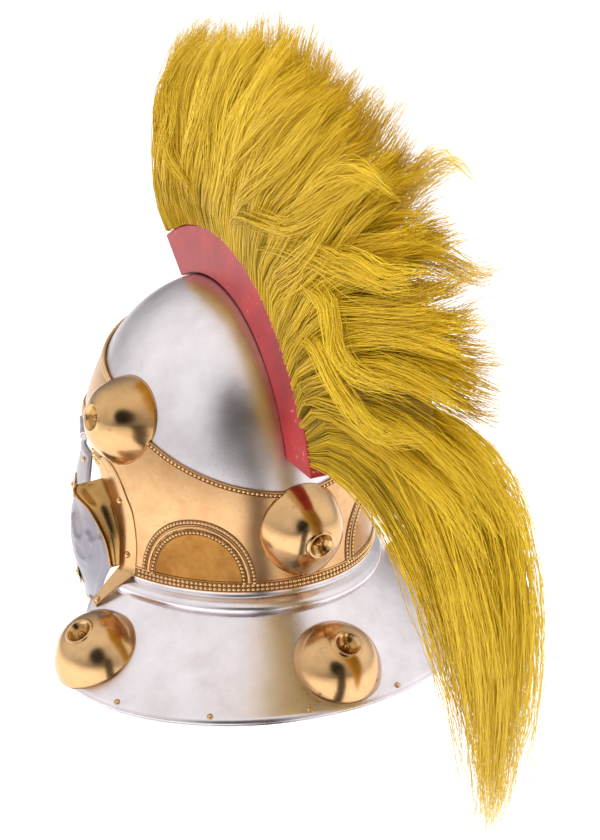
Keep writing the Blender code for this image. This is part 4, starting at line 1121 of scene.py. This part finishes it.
# Crest box and the way its hair grows
crest = {
    "gap": 0.0004, "width": 0.020, "depthTop": 0.0347, "depthBack": 0.0303, "front": -21.0, "slant": 5.5,
    "rear": 72.5, "rearOver": 4.5, "bevel": 0.0009, "hairInset": 2.5,
}
plume = {
    "length": 0.180, "halfRoot": 0.0072, "drift": 0.055, "swell": 0.024, "steep": 26.0, "steepEnd": 0.22,
    # share of the crest, share of length, lean at the root, halfway and at the tip, share of drift
    "guides": [(0.00, 0.88, 8.0, 14.0, 24.0, 0.0), (0.14, 0.90, 14.0, 20.0, 32.0, 0.0),
               (0.30, 0.95, 24.0, 30.0, 40.0, 0.0), (0.44, 1.02, 34.0, 40.0, 49.0, 0.0),
               (0.60, 1.12, 46.0, 50.0, 58.0, 0.0), (0.74, 1.18, 56.0, 61.0, 68.0, 0.0),
               (0.84, 1.18, 62.0, 72.0, 80.0, 0.0), (0.90, 1.10, 64.0, 82.0, 96.0, 0.1),
               (0.93, 2.12, 46.0, 161.0, 198.0, 1.0), (0.965, 1.80, 62.0, 161.0, 184.0, 1.0),
               (1.00, 1.42, 92.0, 155.0, 170.0, 1.0)],
}


def crestEdge(share, lift=0.0):
    start = crest["front"] - crest["slant"]
    angle = math.radians(start + (crest["rear"] + crest["rearOver"] - start) * share)
    return ((wall["halfLength"] + crest["depthBack"] + lift) * math.sin(angle),
            (wall["height"] + crest["depthTop"] + lift) * math.cos(angle))


def makeCrestBox():
    steps = 48
    inner = []
    for angle in spaced(crest["front"], crest["rear"], steps):
        turn = math.radians(angle)
        inner.append(((wall["halfLength"] + crest["gap"]) * math.sin(turn),
                      (wall["height"] + crest["gap"]) * math.cos(turn)))
    outer = [crestEdge(share) for share in spaced(1.0, 0.0, steps)]
    shape = bmesh.new()
    sides = []
    for x in (0.5 * crest["width"], -0.5 * crest["width"]):
        sides.append([shape.verts.new((x, back, up)) for back, up in inner + outer])
    count = len(sides[0])
    for here in range(count):
        there = (here + 1) % count
        shape.faces.new((sides[0][here], sides[0][there], sides[1][there], sides[1][here]))
    for side in sides:
        for here in range(steps):
            shape.faces.new((side[here], side[here + 1], side[count - 2 - here], side[count - 1 - here]))
    bmesh.ops.recalc_face_normals(shape, faces=shape.faces)
    piece = closeShape(shape, "crestBox", paint, angle=50.0, bevel=crest["bevel"])
    settle(piece, "helmet", "crest_box")


# Degrees by which the roots stand steeper than the hair above them
def steep(along, share):
    return plume["steep"] * max(0.0, 1.0 - along / plume["steepEnd"]) ** 1.5 * (1.0 if share < 0.9 else 0.4)


# Points of the hair that leaves the crest at a share of its length, from root to tip
def guideCurve(share, count, stretch=1.0):
    length, root, half, tip, aside = [between(plume["guides"], share, column) for column in range(1, 6)]
    inset = crest["hairInset"] / (crest["rear"] - crest["front"])
    back, up = crestEdge(inset + (1.0 - 2.0 * inset) * share, 0.0006)
    points = [Vector((0.0, back, up))]
    fine = 24
    for step in range(fine):
        along = (step + 0.5) / fine
        first, second = min(2.0 * along, 1.0), max(2.0 * along - 1.0, 0.0)
        lean = math.radians(root + (half - root) * first + (tip - half) * second - steep(along, share))
        move = plume["length"] * length * stretch / fine
        points.append(points[-1] + Vector((-plume["drift"] * aside / fine, math.sin(lean) * move,
                                           math.cos(lean) * move)))
    places = []
    for share in spaced(0.0, 1.0, count - 1):
        here = min(int(share * fine), fine - 1)
        places.append(points[here].lerp(points[here + 1], share * fine - here))
    return places


makeCrestBox()
print("crest box made")


def strandTree():
    tree, sheet, given = newTree("strandsAlongLocks", [
        ("Strands", "Int"), ("Thickness", "Float"), ("Frizz", "Float"), ("Twist", "Float"),
        ("Shortest", "Float"), ("Thinning", "Float"), ("Seed", "Int"), ("Finish", "Material")])

    def random(low, high, offset):
        return sheet.add("FunctionNodeRandomValue", {"data_type": "FLOAT"},
                         {"Min": low, "Max": high, "Seed": given["Seed"] + offset})

    def store(geometry, name, value, domain):
        return sheet.add("GeometryNodeStoreNamedAttribute", {"data_type": "FLOAT", "domain": domain},
                         {"Geometry": geometry, "Name": name, "Value": value})

    def read(name):
        return sheet.add("GeometryNodeInputNamedAttribute", {"data_type": "FLOAT"}, {"Name": name})

    def mathOn(operation, sockets, output="Vector"):
        return sheet.add("ShaderNodeVectorMath", {"operation": operation}, sockets, output)

    locks = sheet.add("GeometryNodeMeshToCurve", None, {"Mesh": given["Geometry"]})
    strands = sheet.add("GeometryNodeDuplicateElements", {"domain": "SPLINE"},
                        {"Geometry": locks, "Amount": given["Strands"]})
    strands = store(strands, "turn", random(0.0, math.tau, 1), "CURVE")
    strands = store(strands, "reach", random(0.02, 1.0, 2) ** 0.5, "CURVE")
    strands = store(strands, "shadeSeed", random(0.0, 1.0, 3), "CURVE")
    strands = store(strands, "stray", random(0.0, 1.0, 5) ** 9.0, "CURVE")
    longer = random(0.0, 1.0, 4) ** given["Thinning"]
    strands = store(strands, "cut", given["Shortest"] + (1.0 - given["Shortest"]) * longer, "CURVE")
    strands = sheet.add("GeometryNodeTrimCurve", None, {"Curve": strands, "End": read("cut")})
    tangent = sheet.add("GeometryNodeInputTangent")
    factor = sheet.add("GeometryNodeSplineParameter", output="Factor")
    place = sheet.add("GeometryNodeInputPosition")
    across = (1.0, 0.0, 0.0)
    aside = mathOn("CROSS_PRODUCT", {0: tangent, 1: across})
    reach = read("reach") * read("spread") * (1.0 + 0.7 * read("stray"))
    angle = read("turn") + given["Twist"] * factor
    alongX = mathOn("SCALE", {0: across, "Scale": reach * angle.run("COSINE", angle)})
    alongSide = mathOn("SCALE", {0: aside, "Scale": reach * angle.run("SINE", angle)})
    jitter = sheet.add("ShaderNodeCombineXYZ", None,
                       {"X": read("turn") * 7.0, "Y": read("shadeSeed") * 31.0, "Z": read("cut") * 40.0})
    sample = mathOn("MULTIPLY_ADD", {0: place, 1: (13.0, 13.0, 13.0), 2: jitter})
    wander = sheet.add("ShaderNodeTexNoise", None, {"Vector": sample, "Scale": 1.0, "Detail": 0.0}, "Color")
    wander = mathOn("SUBTRACT", {0: wander, 1: (0.5, 0.5, 0.5)})
    wander = mathOn("SCALE", {0: wander, "Scale": given["Frizz"] * factor * (1.0 + 1.2 * read("stray"))})
    offset = mathOn("ADD", {0: mathOn("ADD", {0: alongX, 1: alongSide}), 1: wander})
    strands = sheet.add("GeometryNodeSetPosition", None, {"Geometry": strands, "Offset": offset})
    strands = store(strands, "along", factor, "POINT")
    strands = store(strands, "strandTone", read("shadeSeed") * 0.5 + read("lockTone"), "POINT")
    taper = given["Thickness"] * (1.0 - 0.68 * factor ** 4.0)
    ring = sheet.add("GeometryNodeCurvePrimitiveCircle", None, {"Resolution": 3, "Radius": 1.0})
    body = sheet.add("GeometryNodeCurveToMesh", None,
                     {"Curve": strands, "Profile Curve": ring, "Scale": taper, "Fill Caps": True})
    for name in ("turn", "reach", "cut", "spread", "stray", "shadeSeed", "lockTone"):
        body = sheet.add("GeometryNodeRemoveAttribute", None, {"Geometry": body, "Name": name})
    closeTree(sheet, body, given)
    return tree


strandsAlong = strandTree()

# Tufts in rows along the crest, whose tips gather into groups
tufts = {
    "count": 58, "fanEnd": 0.915, "points": 10, "groups": 24, "gather": 0.62, "seed": 11,
    "bulge": 0.0045, "lean": 0.016, "wave": 0.018, "swerve": 0.30, "swerveAside": 0.012,
    "thickness": 0.00030, "frizz": 0.011, "foot": 0.0016, "spread": 0.0048,
    # hair that reaches farther back than this is drawn in by a share of the rest
    "farthest": 0.312, "drawIn": 0.55,
    # share of the fan's half width, strands in each tuft
    "rows": [(1.0, 44), (0.55, 27), (0.0, 22), (-0.55, 27), (-1.0, 44)],
    "pieces": [("plumeFront", 0.0, 0.25), ("plumeTop", 0.25, 0.48), ("plumeRear", 0.48, 0.70),
               ("plumeNape", 0.70, 0.915)],
}


def fanHalf(along):
    rise = math.sin(math.pi * min(along * 0.75 + 0.05, 1.0)) ** 0.8
    return plume["halfRoot"] + (plume["swell"] - plume["halfRoot"]) * rise


def drift(share, along, layer):
    return noise.noise(Vector((share * 7.0, along * 1.9, layer * 1.3)))


def drawIn(place):
    place.y -= tufts["drawIn"] * max(0.0, place.y - tufts["farthest"])


def tuftPath(share, row, groups, count):
    group = min(groups, key=lambda entry: abs(entry["share"] - share))
    apart = min(abs(group["share"] - share) * tufts["groups"] / tufts["fanEnd"], 1.0)
    root, goal = [guideCurve(start, count, group["stretch"]) for start in (share, group["share"])]
    points, spreads, tones = [], [], []
    for number, (first, second) in enumerate(zip(root, goal)):
        along = number / (count - 1)
        place = first.lerp(second, tufts["gather"] * along ** 1.5)
        ahead = (goal[min(number + 1, count - 1)] - goal[max(number - 1, 0)]).normalized()
        aside = Vector((0.0, ahead.z, -ahead.y))
        wave = tufts["wave"] * drift(share, along, row * 2.0)
        wave += group["wave"] * math.sin(math.tau * (along + group["phase"]))
        lean = tufts["lean"] * along * drift(share * 6.0, 0.0, row + 9.0)
        place += aside * (wave * min(along * 2.5, 1.0) + lean)
        swerve = tufts["swerve"] * along * drift(share * 1.6, along, row + 7.0)
        place.x += row * fanHalf(along) * (1.0 - 0.25 * along ** 2 + swerve) + tufts["swerveAside"] * swerve
        place.x += row * tufts["bulge"] * (0.6 - 1.6 * apart) * min(along * 4.0, 1.0)
        drawIn(place)
        points.append(place)
        spreads.append(tufts["foot"] + tufts["spread"] * math.sin(math.pi * (0.04 + 0.76 * along)) ** 1.2)
        # In the outer rows, strands near a group's middle are made lighter and those between groups darker:
        # painted light and shade on the locks, added to the group's random tone.
        tones.append(group["tone"] + 0.22 * (0.5 - apart) * abs(row))
    return points, spreads, tones


def growHair(name, paths, spreads, tones, look, strands):
    mesh = pathMesh(name, paths)
    storeOnPoints(mesh, "spread", "FLOAT", spreads)
    storeOnPoints(mesh, "lockTone", "FLOAT", tones)
    values = {"Strands": strands, "Seed": len(paths), "Finish": hair}
    usual = {"shortest": 0.80, "twist": 0.0, "thinning": 1.0, **look}
    for label in ("Thickness", "Frizz", "Shortest", "Twist", "Thinning"):
        values[label] = usual[label.lower()]
    return grown(name, mesh, strandsAlong, values)


def joined(name, pieces):
    shape = bmesh.new()
    for piece in pieces:
        shape.from_mesh(piece.data)
        bpy.data.objects.remove(piece, do_unlink=True)
    mesh = bpy.data.meshes.new(name)
    shape.to_mesh(mesh)
    shape.free()
    mesh.shade_smooth()
    return settle(linkPiece(name, mesh, hair), "helmet")


def makeFan():
    source = random.Random(tufts["seed"])
    groups = []
    for number in range(tufts["groups"]):
        share = (number + 0.5 + source.uniform(-0.3, 0.3)) / tufts["groups"] * tufts["fanEnd"]
        groups.append({
            "share": share, "phase": source.uniform(0.0, 1.0), "wave": source.uniform(0.002, 0.006),
            "stretch": source.uniform(0.90, 0.99), "tone": source.uniform(0.10, 0.36)})
    for name, start, end in tufts["pieces"]:
        layers = []
        for row, strands in tufts["rows"]:
            paths, spreads, tones = [], [], []
            for number in range(tufts["count"]):
                share = (number + 0.5 + source.uniform(-0.2, 0.2)) / tufts["count"] * tufts["fanEnd"]
                if start <= share < end:
                    points, spread, tone = tuftPath(share, row, groups, tufts["points"])
                    paths.append(points)
                    spreads.extend(spread)
                    tones.extend(tone)
            layers.append(growHair(name + str(len(layers)), paths, spreads, tones, tufts, strands))
        joined(name, layers)


# Rope-like locks that lie over the fan: places in millimetres from the axis on its left side
ropes = {
    "points": 15, "strands": 58, "foot": 0.0016, "spread": 0.0058, "thickness": 0.00026, "frizz": 0.013,
    "twist": 1.4, "proud": 2.0, "tone": 0.36, "shift": 0.006,
    "paths": [
        [(9, 17, 189), (22, 71, 232), (28, 133, 275), (27, 170, 296)],
        [(9, 45, 180), (22, 83, 215), (28, 149, 254), (27, 194, 292)],
        [(9, 36, 183), (20, 77, 203), (29, 155, 213), (29, 205, 239), (27, 250, 262)],
        [(9, 107, 148), (18, 146, 172), (26, 195, 174), (29, 211, 151), (29, 236, 140), (27, 290, 145)],
        [(9, 67, 173), (18, 113, 192), (26, 180, 202), (28, 220, 201), (28, 262, 200), (26, 288, 204)],
        [(9, 112, 145), (20, 171, 190), (27, 224, 207), (28, 261, 205), (26, 295, 216)],
        [(8, -46, 173), (18, -36, 198), (25, -24, 228), (25, -9, 257), (22, -13, 288)],
        [(8, -2, 183), (20, 7, 210), (27, -8, 227), (27, -17, 245), (24, -24, 258)],
        [(9, 122, 128), (22, 172, 142), (28, 214, 124), (28, 258, 112), (24, 300, 120)],
        [(9, 90, 161), (22, 130, 205), (28, 180, 236), (28, 222, 258), (24, 262, 250)],
        [(9, -20, 180), (22, 4, 222), (27, 32, 262), (25, 52, 300)],
    ],
}


def smoothPath(corners, count):
    ends = [corners[0] * 2.0 - corners[1]] + corners + [corners[-1] * 2.0 - corners[-2]]
    points = []
    for place in spaced(0.0, len(corners) - 1.0, count - 1):
        here = min(int(place), len(corners) - 2)
        share = place - here
        before, low, high, after = ends[here:here + 4]
        points.append(smoothly(low, high, (high - before) * 0.5, (after - low) * 0.5, share))
    return points


# The right side has the same locks, each moved a little
def makeRopes():
    source = random.Random(tufts["seed"] + 5)
    for name, sign in (("plumeRopesLeft", 1.0), ("plumeRopesRight", -1.0)):
        paths, spreads = [], []
        for corners in ropes["paths"]:
            back = up = 0.0
            if sign < 0.0:
                back, up = [source.uniform(-ropes["shift"], ropes["shift"]) for axis in "yz"]
            places = []
            for number, (x, y, z) in enumerate(corners):
                loose = min(number, 1)
                place = Vector(((x + ropes["proud"] * loose) * sign, y, z)) * 0.001
                places.append(place + Vector((0.0, back, up)) * loose)
            paths.append(smoothPath(places, ropes["points"]))
            for along in spaced(0.0, 1.0, ropes["points"] - 1):
                wide = math.sin(math.pi * (0.05 + 0.80 * along)) ** 1.1
                spreads.append(ropes["foot"] + ropes["spread"] * wide)
        tones = [ropes["tone"]] * len(spreads)
        settle(growHair(name, paths, spreads, tones, ropes, ropes["strands"]), "helmet")


# The tail hangs from the crest's lower end
tail = {
    "rows": (1.0, 0.5, 0.0, -0.5, -1.0), "columns": 9, "points": 14, "strands": 42, "start": 0.905,
    "thickness": 0.00029, "frizz": 0.016, "shortest": 0.66, "thinning": 2.2,
    "bulge": (-0.011, 0.009, 0.0), "twist": 1.8, "foot": 0.0018, "spread": 0.0080, "swell": 0.011,
    "tip": (-0.038, 0.280, -0.168), "gather": 0.90,
}


def makeTail():
    source = random.Random(tufts["seed"] + 9)
    paths, spreads, tones = [], [], []
    for row in tail["rows"]:
        for number in range(tail["columns"]):
            share = tail["start"] + (1.0 - tail["start"]) * (number + 0.5) / tail["columns"]
            guide = guideCurve(share, tail["points"], source.uniform(0.88, 1.04))
            phase, wave = source.uniform(0.0, 0.35), source.uniform(0.003, 0.008)
            lean, tone = source.uniform(-0.005, 0.005), source.uniform(0.10, 0.36)
            last = guide[-1].copy()
            for point, along in zip(guide, spaced(0.0, 1.0, tail["points"] - 1)):
                pull = tail["gather"] * along ** 3.6
                point += Vector([(goal - end) * pull for goal, end in zip(tail["tip"], last)])
                bulge = Vector(tail["bulge"]) * (0.70 - 0.45 * row)
                point += bulge * math.sin(math.pi * min(along / 0.85, 1.0))
                point.y += wave * math.sin(math.tau * (along * 1.2 + phase)) * min(along * 3.0, 1.0)
                width = plume["halfRoot"] * (1.0 - 0.6 * along)
                width += tail["swell"] * math.sin(math.pi * along) ** 0.8
                point.x += row * width + lean * along
                wide = math.sin(math.pi * (0.05 + 0.72 * along)) ** 1.3
                spreads.append(tail["foot"] + tail["spread"] * wide)
                tones.append(tone)
            paths.append(guide)
    settle(growHair("plumeTail", paths, spreads, tones, tail, tail["strands"]), "helmet")


# Fine hairs that stand away from the fan
strays = {
    "locks": 26, "strands": 9, "points": 9, "thickness": 0.00014, "frizz": 0.034, "foot": 0.0015,
    "spread": 0.007, "end": 0.82, "tone": 0.5,
}


def makeStrays():
    source = random.Random(tufts["seed"] + 14)
    paths, spreads, tones = [], [], []
    for number in range(strays["locks"]):
        share = (number + source.uniform(0.1, 0.9)) / strays["locks"] * strays["end"]
        guide = guideCurve(share, strays["points"], source.uniform(0.88, 0.99))
        side = 1.0 if number % 3 else -1.0
        for point, along in zip(guide, spaced(0.0, 1.0, strays["points"] - 1)):
            point.x += side * fanHalf(along)
            drawIn(point)
            spreads.append(strays["foot"] + strays["spread"] * along)
            tones.append(strays["tone"])
        paths.append(guide)
    settle(growHair("plumeStrays", paths, spreads, tones, strays, strays["strands"]), "helmet")


# A dense mass under the strands, with hollows between its locks
core = {
    "end": 0.90, "stretch": 0.68, "width": 0.46, "columns": 170, "rows": 24, "hollow": 0.0035, "locks": 24.0,
    "thinnest": 0.0008,
}


def corePoint(share, along, guide, sign):
    ridge = math.sin(math.tau * (share * core["locks"] + 0.8 * drift(share, along, 3.0)))
    half = fanHalf(along) * core["width"] + core["hollow"] * ridge * min(along * 3.0, 1.0)
    half *= math.sin(math.pi * (0.5 + 0.46 * max(0.0, along - 0.45) / 0.55))
    return guide + Vector((sign * max(half, core["thinnest"]), 0.0, 0.0))


def makeCore():
    shape = bmesh.new()
    flow = shape.loops.layers.uv.new("flow")
    parts = spaced(0.0, 1.0, core["rows"])
    grids, flows = [], {}
    for sign in (1.0, -1.0):
        grid = []
        for share in spaced(0.0, core["end"], core["columns"]):
            guide = guideCurve(share, len(parts), core["stretch"])
            column = [shape.verts.new(corePoint(share, along, point, sign))
                      for along, point in zip(parts, guide)]
            flows.update({vert: (share, along) for vert, along in zip(column, parts)})
            grid.append(column)
        grids.append(grid)
    near, far = grids
    for grid in grids:
        fillGrid(shape, grid)
    rims = [(near[0], far[0]), (near[-1], far[-1])]
    rims += [([row[side] for row in near], [row[side] for row in far]) for side in (0, -1)]
    for pair in rims:
        fillGrid(shape, pair)
    bmesh.ops.recalc_face_normals(shape, faces=shape.faces)
    for face in shape.faces:
        for loop in face.loops:
            loop[flow].uv = flows[loop.vert]
    settle(closeShape(shape, "plumeCore", innerHair, angle=180.0), "helmet", "plume")


makeFan()
makeRopes()
makeTail()
makeStrays()
makeCore()
print("plume made")

# Studio: pale floor, soft panels and a world that is darker where the camera stands
studio = {
    "floor": -0.30, "floorColor": (0.90, 0.90, 0.92), "floorGlow": 0.36, "base": 0.24, "seen": 0.97,
    # direction, how narrow, strength: bright sides and top
    "lobes": [((0.80, -0.50, 0.40), 3.0, 0.80), ((-0.70, 0.60, 0.45), 3.0, 0.85),
              ((0.0, -0.1, 1.0), 3.0, 0.62), ((0.30, 0.45, 0.85), 8.0, 0.40),
              ((0.84, 0.40, 0.38), 16.0, 0.50), ((-0.87, -0.13, 0.48), 5.0, 0.40)],
    "cardTurn": 14.0, "cardApart": 0.62, "cardWidth": 0.17, "cardTop": 0.10, "cardReach": 0.35,
    "cardColor": (0.05, 0.035, 0.025), "floorSize": 30.0,
    # direction of a dim patch beside the camera, cosines of its outer and inner edge
    "dimPatch": ((0.41, 0.78, 0.46), 0.918, 0.958),
    # place, aim, size, power
    "panels": [("key", (1.25, 0.25, 1.15), (0.0, 0.05, 0.10), (1.1, 1.1), 19.0),
               ("fill", (-0.70, 1.45, 0.80), (0.0, 0.10, 0.10), (1.0, 1.2), 9.0),
               ("top", (0.0, 0.1, 1.7), (0.0, 0.10, 0.05), (1.4, 1.4), 12.0)],
}


def makeWorld():
    world = bpy.data.worlds.new("studio")
    world.use_nodes = True
    world.node_tree.nodes.clear()
    sheet = Sheet(world.node_tree)
    toward = sheet.add("ShaderNodeTexCoord", output="Generated")

    def nearness(direction):
        aim = tuple(Vector(direction).normalized())
        return sheet.add("ShaderNodeVectorMath", {"operation": "DOT_PRODUCT"}, {0: toward, 1: aim}, "Value")

    glow = studio["base"]
    for direction, narrow, strength in studio["lobes"]:
        near = nearness(direction)
        glow = glow + strength * near.run("MAXIMUM", near, 0.0) ** narrow
    direction, outer, inner = studio["dimPatch"]
    glow = glow * sheet.ramp(nearness(direction), [(outer, 1.0), (inner, 0.04)])
    seen = sheet.add("ShaderNodeLightPath", output="Is Camera Ray")
    glow = glow + seen * (studio["seen"] - glow)
    back = sheet.add("ShaderNodeBackground", None, {"Color": (1.0, 1.0, 1.0), "Strength": glow})
    sheet.add("ShaderNodeOutputWorld", None, {"Surface": back})
    bpy.context.scene.world = world


# A dim card that only polished metal sees, standing on the floor behind the helmet
def makeCard():
    turn = math.radians(studio["cardTurn"])
    middle = Vector((math.sin(turn), math.cos(turn), 0.0)) * studio["cardApart"]
    aside = Vector((math.cos(turn), -math.sin(turn), 0.0)) * 0.5 * studio["cardWidth"]
    left, right = middle - aside, middle + aside
    shape = bmesh.new()
    floor = studio["floor"]
    standing = [(left, floor), (right, floor), (right, studio["cardTop"]), (left, studio["cardTop"])]
    reach = studio["cardReach"]
    lying = [(place, floor + 0.002) for place in (left, right, right * reach, left * reach)]
    for corners in (standing, lying):
        shape.faces.new([shape.verts.new((place.x, place.y, level)) for place, level in corners])
    dim, sheet = newFinish("dimCard")
    closeFinish(sheet, {"Base Color": studio["cardColor"], "Roughness": 0.9})
    card = closeShape(shape, "dimCard", dim)
    card.visible_camera = card.visible_diffuse = card.visible_shadow = False


def makeStudio():
    shape = bmesh.new()
    bmesh.ops.create_grid(shape, x_segments=1, y_segments=1, size=studio["floorSize"])
    bmesh.ops.translate(shape, verts=shape.verts, vec=(0.0, 0.0, studio["floor"]))
    pale, sheet = newFinish("paleFloor")
    closeFinish(sheet, {"Base Color": studio["floorColor"], "Roughness": 0.9,
                        "Emission Color": (1.0, 1.0, 1.0), "Emission Strength": studio["floorGlow"]})
    closeShape(shape, "floor", pale)
    makeCard()
    makeWorld()
    for name, place, aim, size, power in studio["panels"]:
        data = bpy.data.lights.new(name, "AREA")
        data.shape = "RECTANGLE"
        data.size, data.size_y = size
        data.energy = power
        lamp = bpy.data.objects.new(name, data)
        lamp.location = place
        lamp.rotation_euler = (Vector(aim) - Vector(place)).to_track_quat("-Z", "Y").to_euler()
        lamp.visible_glossy = False
        bpy.context.scene.collection.objects.link(lamp)
    bpy.context.scene.view_settings.view_transform = "Standard"


makeStudio()
print("studio made")

bpy.context.view_layer.update()
